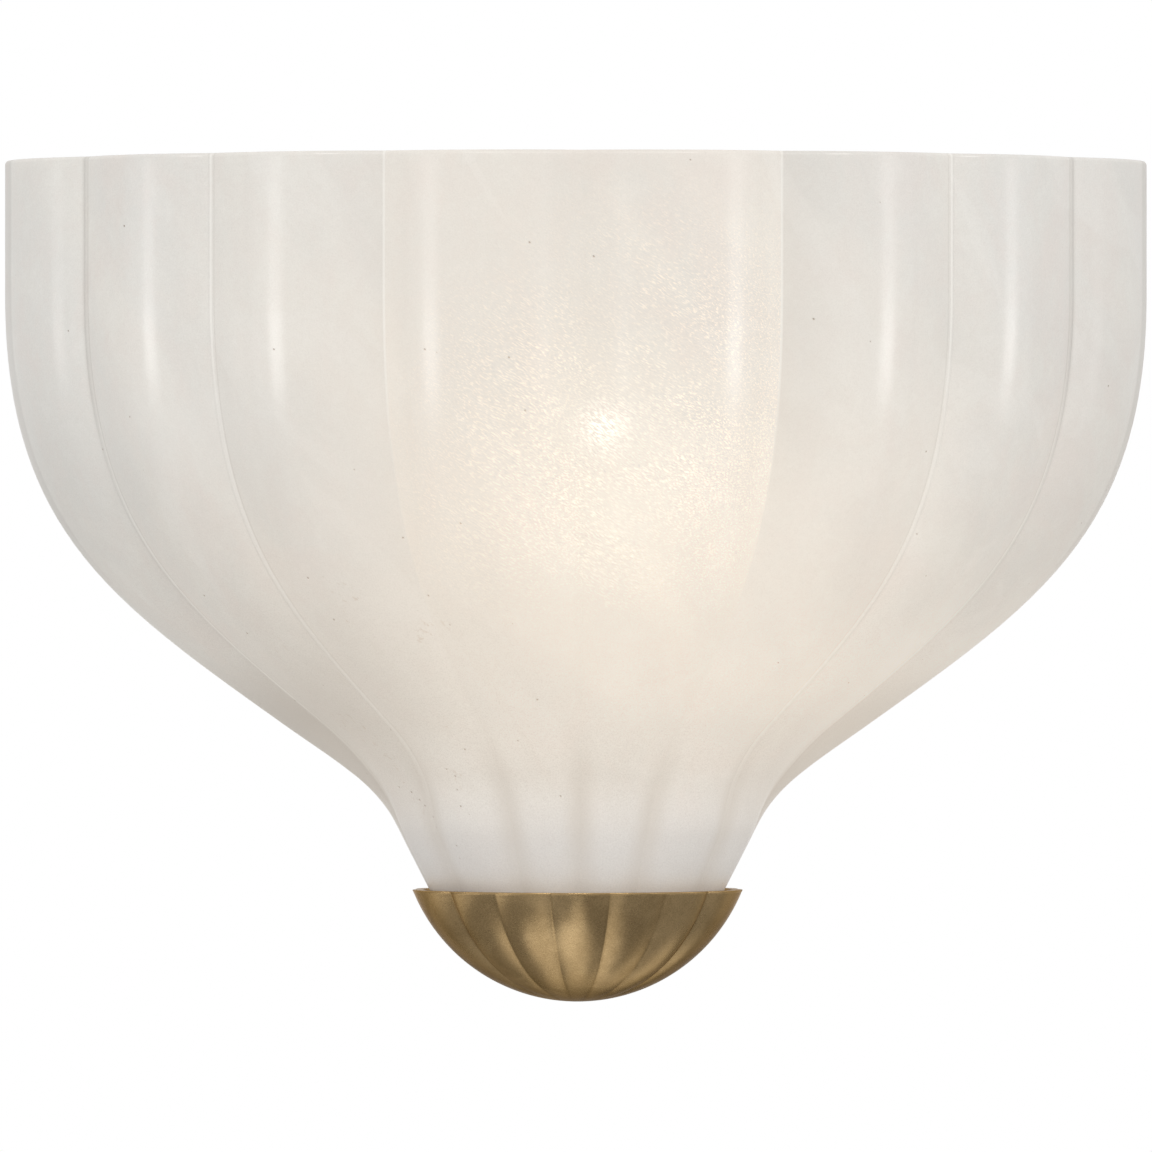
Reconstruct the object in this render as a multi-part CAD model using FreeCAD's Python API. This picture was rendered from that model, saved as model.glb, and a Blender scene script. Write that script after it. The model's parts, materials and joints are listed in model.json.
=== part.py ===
import FreeCAD, Part
import math
import os

V = FreeCAD.Vector

# All sizes are in millimetres.
# X runs to the right, -Y out from the wall, +Z up.
# The origin is the middle of the wall box screws, on the face of the wall.

# Stone shade, seen from the front
shade_half_width = 168.5
shade_height = 214.4
rim_over_wall_box = -118.0
neck_half_width = 44.1
neck_slope = math.radians(27.5)
neck_corner_height = 28.8
neck_bend_radius = 39.0
taper_slope = math.radians(54.5)
taper_top_height = 50.5
shoulder_height = 174.5
shoulder_pull = 67.9
taper_pull = 59.0
neck_depth_in_cup = 8.0

# Stone shade, seen from above
wall_gap = 1.5
top_depth = 119.0
neck_depth = 62.4
top_sweep = math.radians(73.7)
neck_sweep = math.radians(119.1)
sweep_change_low = 16.0
sweep_change_high = 48.0
lobes_per_side = 4
top_seam_shares = (0.0, 0.258, 0.51, 0.745, 1.0)
neck_seam_shares = (0.0, 0.187, 0.459, 0.731, 1.0)
lobe_rise_share = 0.078
shade_wall = 6.5
station_count_low = 11
station_count_high = 9
cut_margin = 5.0

# Brass cup
cup_rim_radius = 48.6
cup_sphere_radius = 52.3
cup_axis_depth = 22.0
cup_wall = 3.0
cup_gadroons = 17
cup_gadroon_rise = 1.1
cup_pole_radius = 1.6
cup_stations = 9
cup_boss_radius = 6.0

# Seat of the stone inside the cup
gasket_thickness = 2.0
seat_thickness = 2.0
seat_clearance = 0.5
seat_ring_width = 5.0
seat_back_gap = 1.5

# Bars of the frame
bar_thickness = 2.5
bar_width = 16.0
bar_bend_radius = 4.0
spine_screw_spacing = 84.0
yoke_corner = 4.0
yoke_screw_x = 4.0
yoke_height = 76.0
yoke_width = 14.0
yoke_end_gap = 3.0
spine_low_depth = 8.0
spine_jog_top = -86.0
spine_jog_bottom = -102.0
spine_foot_reach = 14.0

# Wall pan and strap
pan_radius = 59.0
pan_depth = 18.0
pan_sheet = 1.2
pan_corner = 4.0
strap_length = 104.0
strap_width = 25.0
strap_thickness = 2.0
box_screw_spacing = 88.9
slot_width = 4.6
slot_length = 8.0
strap_centre_hole = 10.5
strap_corner = 5.0
stud_spacing = 60.0
stud_radius = 2.0
stud_end_gap = 0.5
cap_nut_radius = 5.5
cap_nut_height = 8.0
cap_nut_crown = 1.5
cap_nut_edge = 1.5
cap_nut_ribs = 24
cap_nut_rib_depth = 0.3

# Lampholder
holder_front_gap = 2.0
holder_low = 50.0
holder_height = 33.0
holder_radius = 17.5
holder_edge = 1.5
holder_floor = 6.0
holder_cavity_radius = 15.2
shell_inner_radius = 13.6
shell_fit = 0.2
shell_height = 25.0
shell_floor = 0.8
shell_floor_hole = 8.0
thread_pitch = 3.63
thread_rise = 0.45
nipple_radius = 5.0
nipple_bore = 3.0
nipple_length = 13.0
nipple_grip = 4.0
nipple_nut_across = 14.0
nipple_nut_height = 4.0
bracket_thickness = 2.0
bracket_width = 22.0
bracket_rise = 19.0
bracket_toe = 8.0
bracket_rivet_rise = 12.0
bracket_rivet_x = 4.5
rivet_head_radius = 2.8
rivet_head_height = 1.2
contact_height = 4.0
contact_radius = 5.0
contact_disc = 1.4
contact_stem_radius = 2.0
contact_stem_length = 4.6
contact_guide_depth = 2.4
spring_end_gap = 0.3
spring_radius = 3.2
spring_wire_radius = 0.2
spring_turns = 3

# Bulb
bulb_length = 105.0
bulb_radius = 30.0
bulb_skin = 1.2
bulb_body_top = 61.0
bulb_body_skin = 1.8
bulb_body_step = 0.8
bulb_body_floor = 1.5
bulb_base_radius = 13.1
bulb_base_height = 24.0
bulb_base_skin = 0.6
bulb_tip_radius = 4.5
bulb_tip_height = 1.2
insulator_height = 1.5
insulator_inside = 2.0
insulator_rim = 1.5
bulb_board_thickness = 1.2
bulb_board_gap = 1.2
bulb_plate_thickness = 1.5
bulb_plate_gap = 0.3
led_count = 8
led_ring_share = 0.6
led_half = 1.7
led_height = 0.8

# Side clips
clip_screw_from_end = 6.0
clip_thickness = 2.0
clip_width = 14.0
clip_foot_length = 22.0
pad_depth = 23.7
pad_radius = 5.0
pad_thickness = 3.0
pad_gap = 0.45
pad_screw_radius = 2.5
pad_screw_back = 6.0
knob_gap = 3.0
knob_radius = 5.0
knob_height = 5.0
knob_ribs = 12
knob_rib_depth = 0.5

# Screws, nuts and washers
m3_radius = 1.5
m3_head_radius = 2.8
m3_head_height = 2.0
m3_nut_across = 5.5
m3_nut_height = 2.4
m4_radius = 2.0
m4_head_radius = 3.5
m4_head_height = 2.3
m4_nut_across = 7.0
m4_nut_height = 3.2
m5_radius = 2.5
m5_head_radius = 4.6
m5_head_height = 3.4
m5_washer_radius = 5.0
m5_washer_thickness = 1.0
screw_end = 1.4
cup_screw_grip = 8.0

# Leads and their ends
thread_fit = 0.05
hole_fit = 0.3
lead_radius = 1.0
lead_fit = 0.05
lead_share = 0.45
ring_thickness = 0.8
ring_radius = 3.6
ring_neck = 2.6
neck_reach = 1.6
ring_to_barrel = 0.7
barrel_radius = 1.9
barrel_length = 6.0
barrel_floor = 1.0
lead_end_gap = 0.2
terminal_radius = 1.75
terminal_head_radius = 3.2
terminal_head_height = 2.0
terminal_above_base = 3.2
terminal_recess = 1.5
terminal_depth = 5.0
terminal_pocket_reach = 12.0
terminal_pocket_half = 4.6
grommet_bore = 1.7
grommet_radius = 4.0
grommet_flange = 1.5
grommet_lip = 1.0
grommet_lead_x = 20.0
grommet_z = -40.0
lead_depth = 10.5
block_half_width = 12.0
block_low = 18.0
block_height = 18.0
block_gap = 4.0
block_wire_x = 5.5
block_screw_inset = 3.5
block_screw_sunk = 0.4
block_screw_slot = 0.8
block_edge = 1.5
lead_in_block = 5.0
lead_below_block = 11.0
lead_swing_below = 25.0
lead_behind_pan = 8.5
lead_turn_behind_pan = 11.0
lead_swing_in = 1.0
earth_lead_straight = 3.0
earth_strap_x = -16.0
earth_pan_x = -32.0
earth_pan_z = 31.0
earth_screw_tail = 3.0
pad_strip_width = 4.0
pad_strip_height = 24.0
pad_strip_edge = 1.0
pad_strip_low = 86.0

rim_z = rim_over_wall_box
cup_y = -cup_axis_depth
spine_front = -pan_depth - bar_thickness
pan_inside = -pan_depth + pan_sheet


# Plain solids

def cylinder(radius, start, end):
    axis = end.sub(start)
    return Part.makeCylinder(radius, axis.Length, start, axis)


def block(x0, x1, y0, y1, z0, z1):
    return Part.makeBox(x1 - x0, y1 - y0, z1 - z0, V(x0, y0, z0))


def hexagon(across, start, end):
    axis = end.sub(start)
    corner = across / math.sqrt(3.0)
    ring = []
    for step in range(7):
        turn = math.radians(60.0 * step)
        ring.append(V(corner * math.cos(turn), corner * math.sin(turn), 0))
    prism = Part.Face(Part.makePolygon(ring)).extrude(V(0, 0, axis.Length))
    prism.Placement = FreeCAD.Placement(start, FreeCAD.Rotation(V(0, 0, 1), axis))
    return prism


def revolved(points, x, y):
    wire = Part.makePolygon([V(r, 0, z) for r, z in points + points[:1]])
    solid = Part.Face(wire).revolve(V(0, 0, 0), V(0, 0, 1), 360)
    solid.translate(V(x, y, 0))
    return solid


def fused(shapes):
    return shapes[0].fuse(shapes[1:]).removeSplitter()


def screw(radius, head_radius, head_height, under_head, tip):
    axis = tip.sub(under_head)
    axis.normalize()
    top = under_head.sub(axis * head_height)
    head = cylinder(head_radius, top, under_head)
    edge = head_height * 0.35
    head = head.makeFillet(edge, [head.Edges[i] for i in top_edges(head, top)])
    body = head.fuse(cylinder(radius, under_head, tip))
    slot = Part.makeBox(head_radius * 3.0, head_radius * 0.3, head_height * 0.5)
    slot.translate(V(-head_radius * 1.5, -head_radius * 0.15, 0))
    slot.Placement = FreeCAD.Placement(top, FreeCAD.Rotation(V(0, 0, 1), axis)) * slot.Placement
    return body.cut(slot)


def top_edges(head, top):
    found = []
    for i, edge in enumerate(head.Edges):
        round_edge = hasattr(edge.Curve, "Radius")
        if round_edge and edge.Curve.Center.sub(top).Length < 0.01:
            found.append(i)
    return found


def nut(across, radius, start, end):
    return hexagon(across, start, end).cut(cylinder(radius + thread_fit, start, end))


def washer(outer, radius, start, end):
    return cylinder(outer, start, end).cut(cylinder(radius + hole_fit, start, end))


def bent_bar(points, thickness, width, bend):
    """A flat bar whose side view follows the points, its width along X.

    The points are (y, z) pairs on the middle line of the metal.
    """
    line = [V(0, y, z) for y, z in points]
    bar = bent_sheet(line, V(1, 0, 0), thickness, bend).extrude(V(width, 0, 0))
    bar.translate(V(-width / 2.0, 0, 0))
    return bar


def bent_sheet(points, across, thickness, bend):
    """Side view of bent metal: two rounded lines, half a thickness off the points."""
    sides = []
    for side in (-1, 1):
        corners = []
        radii = []
        for i, point in enumerate(points):
            before = points[i].sub(points[i - 1]).normalize() if i else None
            after = points[i + 1].sub(points[i]).normalize() if i + 1 < len(points) else None
            if before is None or after is None:
                left = across.cross(after or before)
                corners.append(point.add(left * (side * thickness / 2.0)))
                continue
            left = across.cross(before).add(across.cross(after)).normalize()
            share = left.dot(across.cross(before))
            corners.append(point.add(left * (side * thickness / 2.0 / share)))
            turn = 1.0 if before.cross(after).dot(across) > 0 else -1.0
            radii.append(bend + thickness / 2.0 - side * turn * thickness / 2.0)
        sides.append(rounded_path(corners, radii))
    ends = []
    for pick in (0, -1):
        ends.append(Part.LineSegment(sides[0][1][pick], sides[1][1][pick]).toShape())
    edges = sides[0][0] + sides[1][0] + ends
    return Part.Face(Part.Wire(Part.__sortEdges__(edges)))


def rounded_path(points, radii):
    """Straight runs joined by tangent arcs, as edges and the path's two ends."""
    edges = []
    last = points[0]
    for before, corner, after, radius in zip(points, points[1:], points[2:], radii):
        to_before = before.sub(corner).normalize()
        to_after = after.sub(corner).normalize()
        half = to_before.getAngle(to_after) / 2.0
        reach = radius / math.tan(half)
        start = corner.add(to_before * reach)
        end = corner.add(to_after * reach)
        inward = to_before.add(to_after).normalize()
        middle = corner.add(inward * (radius / math.sin(half) - radius))
        edges.append(Part.LineSegment(last, start).toShape())
        edges.append(Part.Arc(start, middle, end).toShape())
        last = end
    edges.append(Part.LineSegment(last, points[-1]).toShape())
    return edges, (points[0], points[-1])


# Outline of the shade

def smooth(share):
    share = min(1.0, max(0.0, share))
    return share * share * (3.0 - 2.0 * share)


def taper_line(height):
    corner_width = neck_half_width + neck_corner_height * math.tan(neck_slope)
    return corner_width + (height - neck_corner_height) * math.tan(taper_slope)


def neck_line(height):
    return neck_half_width + height * math.tan(neck_slope)


def shoulder_curve(height):
    """Half width on the one curve from the straight side to the taper."""
    end_width = taper_line(taper_top_height)
    pulled_width = end_width + taper_pull * math.sin(taper_slope)
    pulled_height = taper_top_height + taper_pull * math.cos(taper_slope)
    widths = (shade_half_width, shade_half_width, pulled_width, end_width)
    heights = (shoulder_height, shoulder_height - shoulder_pull, pulled_height, taper_top_height)

    def blend(values, t):
        u = 1.0 - t
        a, b, c, d = values
        return u * u * u * a + 3 * u * u * t * b + 3 * u * t * t * c + t * t * t * d

    low, high = 0.0, 1.0
    for step in range(40):
        middle = (low + high) / 2.0
        if blend(heights, middle) > height:
            low = middle
        else:
            high = middle
    return blend(widths, low)


def half_width(height):
    """Half width of the shade at a height over the rim of the cup."""
    reach = neck_bend_radius * math.tan((taper_slope - neck_slope) / 2.0)
    bend_top = neck_corner_height + reach * math.cos(taper_slope)
    bend_low = neck_corner_height - reach * math.cos(neck_slope)
    if height >= shoulder_height:
        return shade_half_width
    if height >= taper_top_height:
        return shoulder_curve(height)
    if height >= bend_top:
        return taper_line(height)
    if height <= bend_low:
        return neck_line(height)
    centre_x = taper_line(bend_top) + neck_bend_radius * math.cos(taper_slope)
    centre_z = bend_top - neck_bend_radius * math.sin(taper_slope)
    return centre_x - math.sqrt(neck_bend_radius ** 2 - (height - centre_z) ** 2)


def plan_of(height):
    """Ellipse, sweep and seam angles of the shade at one height."""
    change = smooth((height - sweep_change_low) / (sweep_change_high - sweep_change_low))
    sweep = neck_sweep + (top_sweep - neck_sweep) * change
    width = half_width(height)
    spread = (width - neck_half_width) / (shade_half_width - neck_half_width)
    depth = neck_depth + (top_depth - neck_depth) * spread
    semi_depth = (depth - wall_gap) / (1.0 - math.cos(sweep))
    centre = wall_gap - semi_depth * math.cos(sweep)
    seams = []
    for low, high in zip(neck_seam_shares, top_seam_shares):
        seams.append((low + (high - low) * change) * sweep)
    rise = lobe_rise_share * width * sweep / lobes_per_side
    semi_width = width / math.sin(sweep) if sweep < math.pi / 2 else width
    semi_width -= (1.0 - change * change) * rise
    return semi_width, semi_depth, centre, sweep, seams, rise


def on_ellipse(semi_width, semi_depth, centre, angle, height, rise=0.0):
    x = semi_width * math.sin(angle)
    y = semi_depth * math.cos(angle)
    across = math.sin(angle) / semi_width
    out = math.cos(angle) / semi_depth
    size = math.hypot(across, out)
    return V(x + rise * across / size, -centre - y - rise * out / size, rim_z + height)


def depth_at(height):
    """How far the shade stands out from the wall at a height."""
    semi_width, semi_depth, centre, sweep, seams, rise = plan_of(height)
    return centre + semi_depth


# The lampholder stands as far forward as the front of the shade lets it
lamp_y = -(depth_at(holder_low) - shade_wall - holder_front_gap - holder_radius)
bulb_tip = holder_low + holder_floor + contact_height


def both_sides(seams):
    return [-angle for angle in reversed(seams[1:])] + list(seams)


def outer_section(height):
    semi_width, semi_depth, centre, sweep, seams, rise = plan_of(height)
    angles = both_sides(seams)
    edges = []
    for start, end in zip(angles, angles[1:]):
        a = on_ellipse(semi_width, semi_depth, centre, start, height)
        b = on_ellipse(semi_width, semi_depth, centre, (start + end) / 2.0, height, rise)
        c = on_ellipse(semi_width, semi_depth, centre, end, height)
        edges.append(Part.Arc(a, b, c).toShape())
    first = edges[0].Vertexes[0].Point
    last = edges[-1].Vertexes[-1].Point
    edges.append(Part.LineSegment(last, first).toShape())
    return Part.Wire(edges)


def inner_section(height, wall):
    semi_width, semi_depth, centre, sweep, seams, rise = plan_of(height)
    semi_width -= wall
    semi_depth -= wall
    inner_sweep = math.acos((wall_gap - centre) / semi_depth)
    angles = both_sides([angle * inner_sweep / sweep for angle in seams])
    edges = []
    for start, end in zip(angles, angles[1:]):
        a = on_ellipse(semi_width, semi_depth, centre, start, height)
        b = on_ellipse(semi_width, semi_depth, centre, (start + end) / 2.0, height)
        c = on_ellipse(semi_width, semi_depth, centre, end, height)
        edges.append(Part.Arc(a, b, c).toShape())
    first = edges[0].Vertexes[0].Point
    last = edges[-1].Vertexes[-1].Point
    first_out = V(first.x, cut_margin, first.z)
    last_out = V(last.x, cut_margin, last.z)
    edges.append(Part.LineSegment(last, last_out).toShape())
    edges.append(Part.LineSegment(last_out, first_out).toShape())
    edges.append(Part.LineSegment(first_out, first).toShape())
    return Part.Wire(edges)


def stations(low, high):
    """Heights of the sections, closer together round the bend of the neck."""
    heights = []
    for step in range(station_count_low):
        heights.append(low + (taper_top_height - low) * step / station_count_low)
    for step in range(station_count_high + 1):
        heights.append(taper_top_height + (high - taper_top_height) * step / station_count_high)
    return heights


# Stone, cup and their seat

def alabaster_shade():
    outer = Part.makeLoft([outer_section(h) for h in stations(-neck_depth_in_cup, shade_height)], True)
    low = -neck_depth_in_cup - cut_margin
    high = shade_height + cut_margin
    inner = Part.makeLoft([inner_section(h, shade_wall) for h in stations(low, high)], True)
    return outer.cut(inner)


def cup_radius(height, radius):
    """Radius of a sphere whose top is cut off at the rim of the cup."""
    centre = math.sqrt(cup_sphere_radius ** 2 - cup_rim_radius ** 2)
    return math.sqrt(max(0.0, radius ** 2 - (centre - height) ** 2))


def cup_drop(radius_at_height, radius):
    centre = math.sqrt(cup_sphere_radius ** 2 - cup_rim_radius ** 2)
    return centre - math.sqrt(radius ** 2 - radius_at_height ** 2)


def gadroon_section(radius, height):
    rise = cup_gadroon_rise * radius / cup_rim_radius
    valley = radius - rise
    pitch = 2.0 * math.pi / cup_gadroons
    edges = []
    for step in range(cup_gadroons):
        start = (step - 0.5) * pitch
        points = []
        for angle, reach in ((start, valley), (start + pitch / 2, radius), (start + pitch, valley)):
            points.append(V(reach * math.sin(angle), cup_y - reach * math.cos(angle), rim_z + height))
        edges.append(Part.Arc(*points).toShape())
    return Part.Wire(edges)


def brass_cup():
    centre = math.sqrt(cup_sphere_radius ** 2 - cup_rim_radius ** 2)
    rim_angle = math.asin(cup_rim_radius / cup_sphere_radius)
    pole_angle = math.asin(cup_pole_radius / cup_sphere_radius)
    sections = []
    for step in range(cup_stations):
        angle = pole_angle + (rim_angle - pole_angle) * step / (cup_stations - 1)
        radius = cup_sphere_radius * math.sin(angle)
        height = centre - cup_sphere_radius * math.cos(angle)
        sections.append(gadroon_section(radius, height))
    outer = Part.makeLoft(sections, True)
    sphere = Part.makeSphere(cup_sphere_radius - cup_wall, V(0, cup_y, rim_z + centre))
    cup = outer.cut(sphere)
    boss_top = V(0, cup_y, seat_z() - seat_thickness)
    boss_low = V(0, cup_y, rim_z + cup_drop(0.0, cup_sphere_radius) + cup_wall / 2.0)
    cup = cup.fuse(cylinder(cup_boss_radius, boss_low, boss_top))
    hole_low = V(0, cup_y, boss_low.z + cup_wall)
    cup = cup.cut(cylinder(m5_radius + thread_fit, hole_low, boss_top))
    size = 2.0 * cup_sphere_radius
    return cup.common(block(-size, size, -2.0 * size, -wall_gap, rim_z - size, rim_z))


def seat_z():
    return rim_z - neck_depth_in_cup - gasket_thickness


def seat_radius():
    low = -neck_depth_in_cup - gasket_thickness - seat_thickness
    return cup_radius(low, cup_sphere_radius - cup_wall) - seat_clearance


def open_at_back(shape):
    size = 2.0 * cup_sphere_radius
    back = -wall_gap - seat_back_gap
    return shape.common(block(-size, size, -2.0 * size, back, rim_z - size, rim_z + size))


def seat_plate():
    top = V(0, cup_y, seat_z())
    low = V(0, cup_y, seat_z() - seat_thickness)
    plate = cylinder(seat_radius(), low, top).cut(cylinder(m5_radius + hole_fit, low, top))
    return open_at_back(plate)


def neck_gasket():
    top = V(0, cup_y, seat_z() + gasket_thickness)
    low = V(0, cup_y, seat_z())
    ring = cylinder(seat_radius(), low, top)
    ring = ring.cut(cylinder(seat_radius() - seat_ring_width, low, top))
    return open_at_back(ring)


def foot_top():
    return seat_z() + bar_thickness


def cup_screw_washer():
    low = V(0, cup_y, foot_top())
    return washer(m5_washer_radius, m5_radius, low, low.add(V(0, 0, m5_washer_thickness)))


def cup_screw():
    under = V(0, cup_y, foot_top() + m5_washer_thickness)
    tip = V(0, cup_y, seat_z() - seat_thickness - cup_screw_grip)
    return screw(m5_radius, m5_head_radius, m5_head_height, under, tip)


# Frame behind the shade

def spine_bar():
    y_high = -pan_depth - bar_thickness / 2.0
    y_low = -spine_low_depth
    foot_z = seat_z() + bar_thickness / 2.0
    top_z = yoke_height + yoke_width / 2.0
    points = [(y_high, top_z), (y_high, spine_jog_top), (y_low, spine_jog_bottom),
              (y_low, foot_z), (cup_y - spine_foot_reach, foot_z)]
    bar = bent_bar(points, bar_thickness, bar_width, bar_bend_radius)
    for x, z in spine_screw_places():
        bar = bar.cut(hole_through_y(m4_radius + hole_fit, x, z))
    for x, z in yoke_screw_places() + bracket_rivet_places():
        bar = bar.cut(hole_through_y(m3_radius + thread_fit, x, z))
    bar = bar.cut(hole_through_y(m3_radius + thread_fit, 0, block_middle()))
    return bar.cut(cylinder(m5_radius + hole_fit, V(0, cup_y, seat_z() - 1), V(0, cup_y, foot_top() + 1)))


def hole_through_y(radius, x, z):
    return cylinder(radius, V(x, spine_front - cut_margin, z), V(x, cut_margin, z))


def spine_screw_places():
    return [(0.0, spine_screw_spacing / 2.0), (0.0, -spine_screw_spacing / 2.0)]


def yoke_screw_places():
    return [(-yoke_screw_x, yoke_height), (yoke_screw_x, yoke_height)]


def bracket_rivet_places():
    z = holder_bottom() + bracket_rivet_rise
    return [(-bracket_rivet_x, z), (bracket_rivet_x, z)]


def holder_bottom():
    return rim_z + holder_low


def spine_screws():
    parts = []
    for x, z in spine_screw_places():
        under = V(x, pan_inside, z)
        tip = V(x, spine_front - m4_nut_height - screw_end, z)
        parts.append(screw(m4_radius, m4_head_radius, m4_head_height, under, tip))
    return Part.Compound(parts)


def spine_nuts():
    parts = []
    for x, z in spine_screw_places():
        end = V(x, spine_front - m4_nut_height, z)
        parts.append(nut(m4_nut_across, m4_radius, V(x, spine_front, z), end))
    return Part.Compound(parts)


def yoke_half_length():
    """The yoke stops short of the knobs, which stand behind its line."""
    spot, out = pad_spot(1)
    knob_end = pad_gap + pad_thickness + pad_screw_back + knob_gap + knob_height
    return spot.x - knob_end * out.x + knob_radius * out.y - yoke_end_gap


def top_yoke():
    half = yoke_half_length()
    z0 = yoke_height - yoke_width / 2.0
    z1 = yoke_height + yoke_width / 2.0
    bar = block(-half, half, spine_front - bar_thickness, spine_front, z0, z1)
    upright = [edge for edge in bar.Edges if abs(edge.tangentAt(edge.FirstParameter).y) > 0.9]
    bar = bar.makeFillet(yoke_corner, upright)
    for x, z in yoke_screw_places():
        bar = bar.cut(hole_through_y(m3_radius + hole_fit, x, z))
    for side in (-1, 1):
        for x, z in clip_screw_places(side):
            bar = bar.cut(hole_through_y(m3_radius + hole_fit, x, z))
    return bar


def yoke_screws():
    parts = []
    front = spine_front - bar_thickness
    for x, z in yoke_screw_places():
        tip = V(x, -pan_depth + screw_end, z)
        parts.append(screw(m3_radius, m3_head_radius, m3_head_height, V(x, front, z), tip))
    return Part.Compound(parts)


def pad_spot(side):
    """Inside of the outermost lobe at the yoke, and the way out through it there."""
    height = yoke_height - rim_z
    semi_width, semi_depth, centre, sweep, seams, rise = plan_of(height)
    semi_width -= shade_wall
    semi_depth -= shade_wall
    angle = math.acos((pad_depth - centre) / semi_depth)
    spot = on_ellipse(semi_width, semi_depth, centre, angle, height)
    beyond = on_ellipse(semi_width, semi_depth, centre, angle, height, 1.0)
    out = beyond.sub(spot)
    spot.x *= side
    out.x *= side
    return spot, out


def clip_screw_places(side):
    end = yoke_half_length()
    return [(side * (end - clip_screw_from_end), yoke_height)]


def side_clip(side):
    """A foot on the yoke, bent to a leg square to the pad's screw."""
    spot, out = pad_spot(side)
    leg_out = spot.sub(out * (pad_gap + pad_thickness + pad_screw_back - clip_thickness))
    along = V(-out.y * side, out.x * side, 0)
    front = spine_front - bar_thickness
    foot_y = front - clip_thickness / 2.0
    middle = leg_out.sub(out * (clip_thickness / 2.0))
    share = (foot_y - middle.y) / along.y
    corner = middle.add(along * share)
    leg_end = middle.sub(along * (math.copysign(pad_radius, share)))
    foot_end = V(corner.x - side * clip_foot_length, foot_y, middle.z)
    flat = bent_sheet([foot_end, corner, leg_end], V(0, 0, 1), clip_thickness, clip_thickness)
    clip = flat.extrude(V(0, 0, clip_width))
    clip.translate(V(0, 0, -clip_width / 2.0))
    for x, z in clip_screw_places(side):
        clip = clip.cut(hole_through_y(m3_radius + hole_fit, x, z))
    hole_start = middle.sub(out * clip_thickness)
    hole_end = middle.add(out * clip_thickness)
    return clip.cut(cylinder(pad_screw_radius + thread_fit, hole_start, hole_end))


def clip_screws():
    parts = []
    front = spine_front - bar_thickness - clip_thickness
    for side in (-1, 1):
        for x, z in clip_screw_places(side):
            tip = V(x, spine_front + m3_nut_height + screw_end, z)
            parts.append(screw(m3_radius, m3_head_radius, m3_head_height, V(x, front, z), tip))
    return Part.Compound(parts)


def clip_nuts():
    parts = []
    for side in (-1, 1):
        for x, z in clip_screw_places(side):
            end = V(x, spine_front + m3_nut_height, z)
            parts.append(nut(m3_nut_across, m3_radius, V(x, spine_front, z), end))
    return Part.Compound(parts)


def pad_screw(side):
    """A knob and screw whose tip turns on the pad, driven out through the clip."""
    spot, out = pad_spot(side)
    tip = spot.sub(out * (pad_gap + pad_thickness))
    under = spot.sub(out * (pad_gap + pad_thickness + pad_screw_back + knob_gap))
    knob_end = under.sub(out * knob_height)
    knob = cylinder(knob_radius, knob_end, under)
    for step in range(knob_ribs):
        knob = knob.cut(rib_cut(knob_end, under, out, step))
    return knob.fuse(cylinder(pad_screw_radius, under, tip))


def rib_cut(start, end, axis, step):
    side = axis.cross(V(0, 0, 1)).normalize()
    up = side.cross(axis).normalize()
    turn = 2.0 * math.pi * step / knob_ribs
    shift = side * (knob_radius * math.cos(turn)) + up * (knob_radius * math.sin(turn))
    return cylinder(knob_rib_depth, start.add(shift), end.add(shift))


def clip_pad(side):
    spot, out = pad_spot(side)
    face = spot.sub(out * pad_gap)
    return cylinder(pad_radius, face.sub(out * pad_thickness), face)


# Wall pan, strap and studs

def backplate_pan():
    outer = [(0, 0), (pan_radius, 0), (pan_radius, pan_depth), (0, pan_depth)]
    shell = revolved(outer, 0, 0)
    edge = [e for e in shell.Edges if hasattr(e.Curve, "Radius") and e.Vertexes[0].Z > pan_depth / 2.0]
    shell = shell.makeFillet(pan_corner, edge)
    inside = cylinder(pan_radius - pan_sheet, V(0, 0, -cut_margin), V(0, 0, pan_depth - pan_sheet))
    edge = [e for e in inside.Edges if hasattr(e.Curve, "Radius") and e.Vertexes[0].Z > pan_depth / 2.0]
    inside = inside.makeFillet(pan_corner - pan_sheet, edge)
    shell = shell.cut(inside)
    shell.rotate(V(0, 0, 0), V(1, 0, 0), 90)
    for x, z in spine_screw_places():
        shell = shell.cut(hole_through_y(m4_radius + hole_fit, x, z))
    for side in (-1, 1):
        shell = shell.cut(hole_through_y(stud_radius + hole_fit, side * stud_spacing / 2.0, 0))
        shell = shell.cut(hole_through_y(grommet_neck(), side * grommet_lead_x, grommet_z))
    shell = shell.cut(hole_through_y(m4_radius + thread_fit, earth_pan_x, earth_pan_z))
    return shell.cut(hole_through_y(m3_radius + hole_fit, 0, block_middle()))


def mounting_strap():
    half = strap_length / 2.0
    strap = block(-half, half, -strap_thickness, 0, -strap_width / 2.0, strap_width / 2.0)
    upright = [edge for edge in strap.Edges if abs(edge.tangentAt(edge.FirstParameter).y) > 0.9]
    strap = strap.makeFillet(strap_corner, upright)
    strap = strap.cut(hole_through_y(strap_centre_hole / 2.0, 0, 0))
    for side in (-1, 1):
        strap = strap.cut(box_screw_slot(side * box_screw_spacing / 2.0))
        strap = strap.cut(hole_through_y(stud_radius + thread_fit, side * stud_spacing / 2.0, 0))
    return strap.cut(hole_through_y(m4_radius + thread_fit, earth_strap_x, 0))


def box_screw_slot(x):
    reach = (slot_length - slot_width) / 2.0
    radius = slot_width / 2.0
    middle = block(x - reach, x + reach, -cut_margin, cut_margin, -radius, radius)
    ends = [hole_through_y(radius, x - reach, 0), hole_through_y(radius, x + reach, 0)]
    return middle.fuse(ends)


def stud_places():
    return [-stud_spacing / 2.0, stud_spacing / 2.0]


def canopy_studs():
    end = -pan_depth - cap_nut_height + cap_nut_crown + stud_end_gap
    return Part.Compound([cylinder(stud_radius, V(x, 0, 0), V(x, end, 0)) for x in stud_places()])


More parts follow.
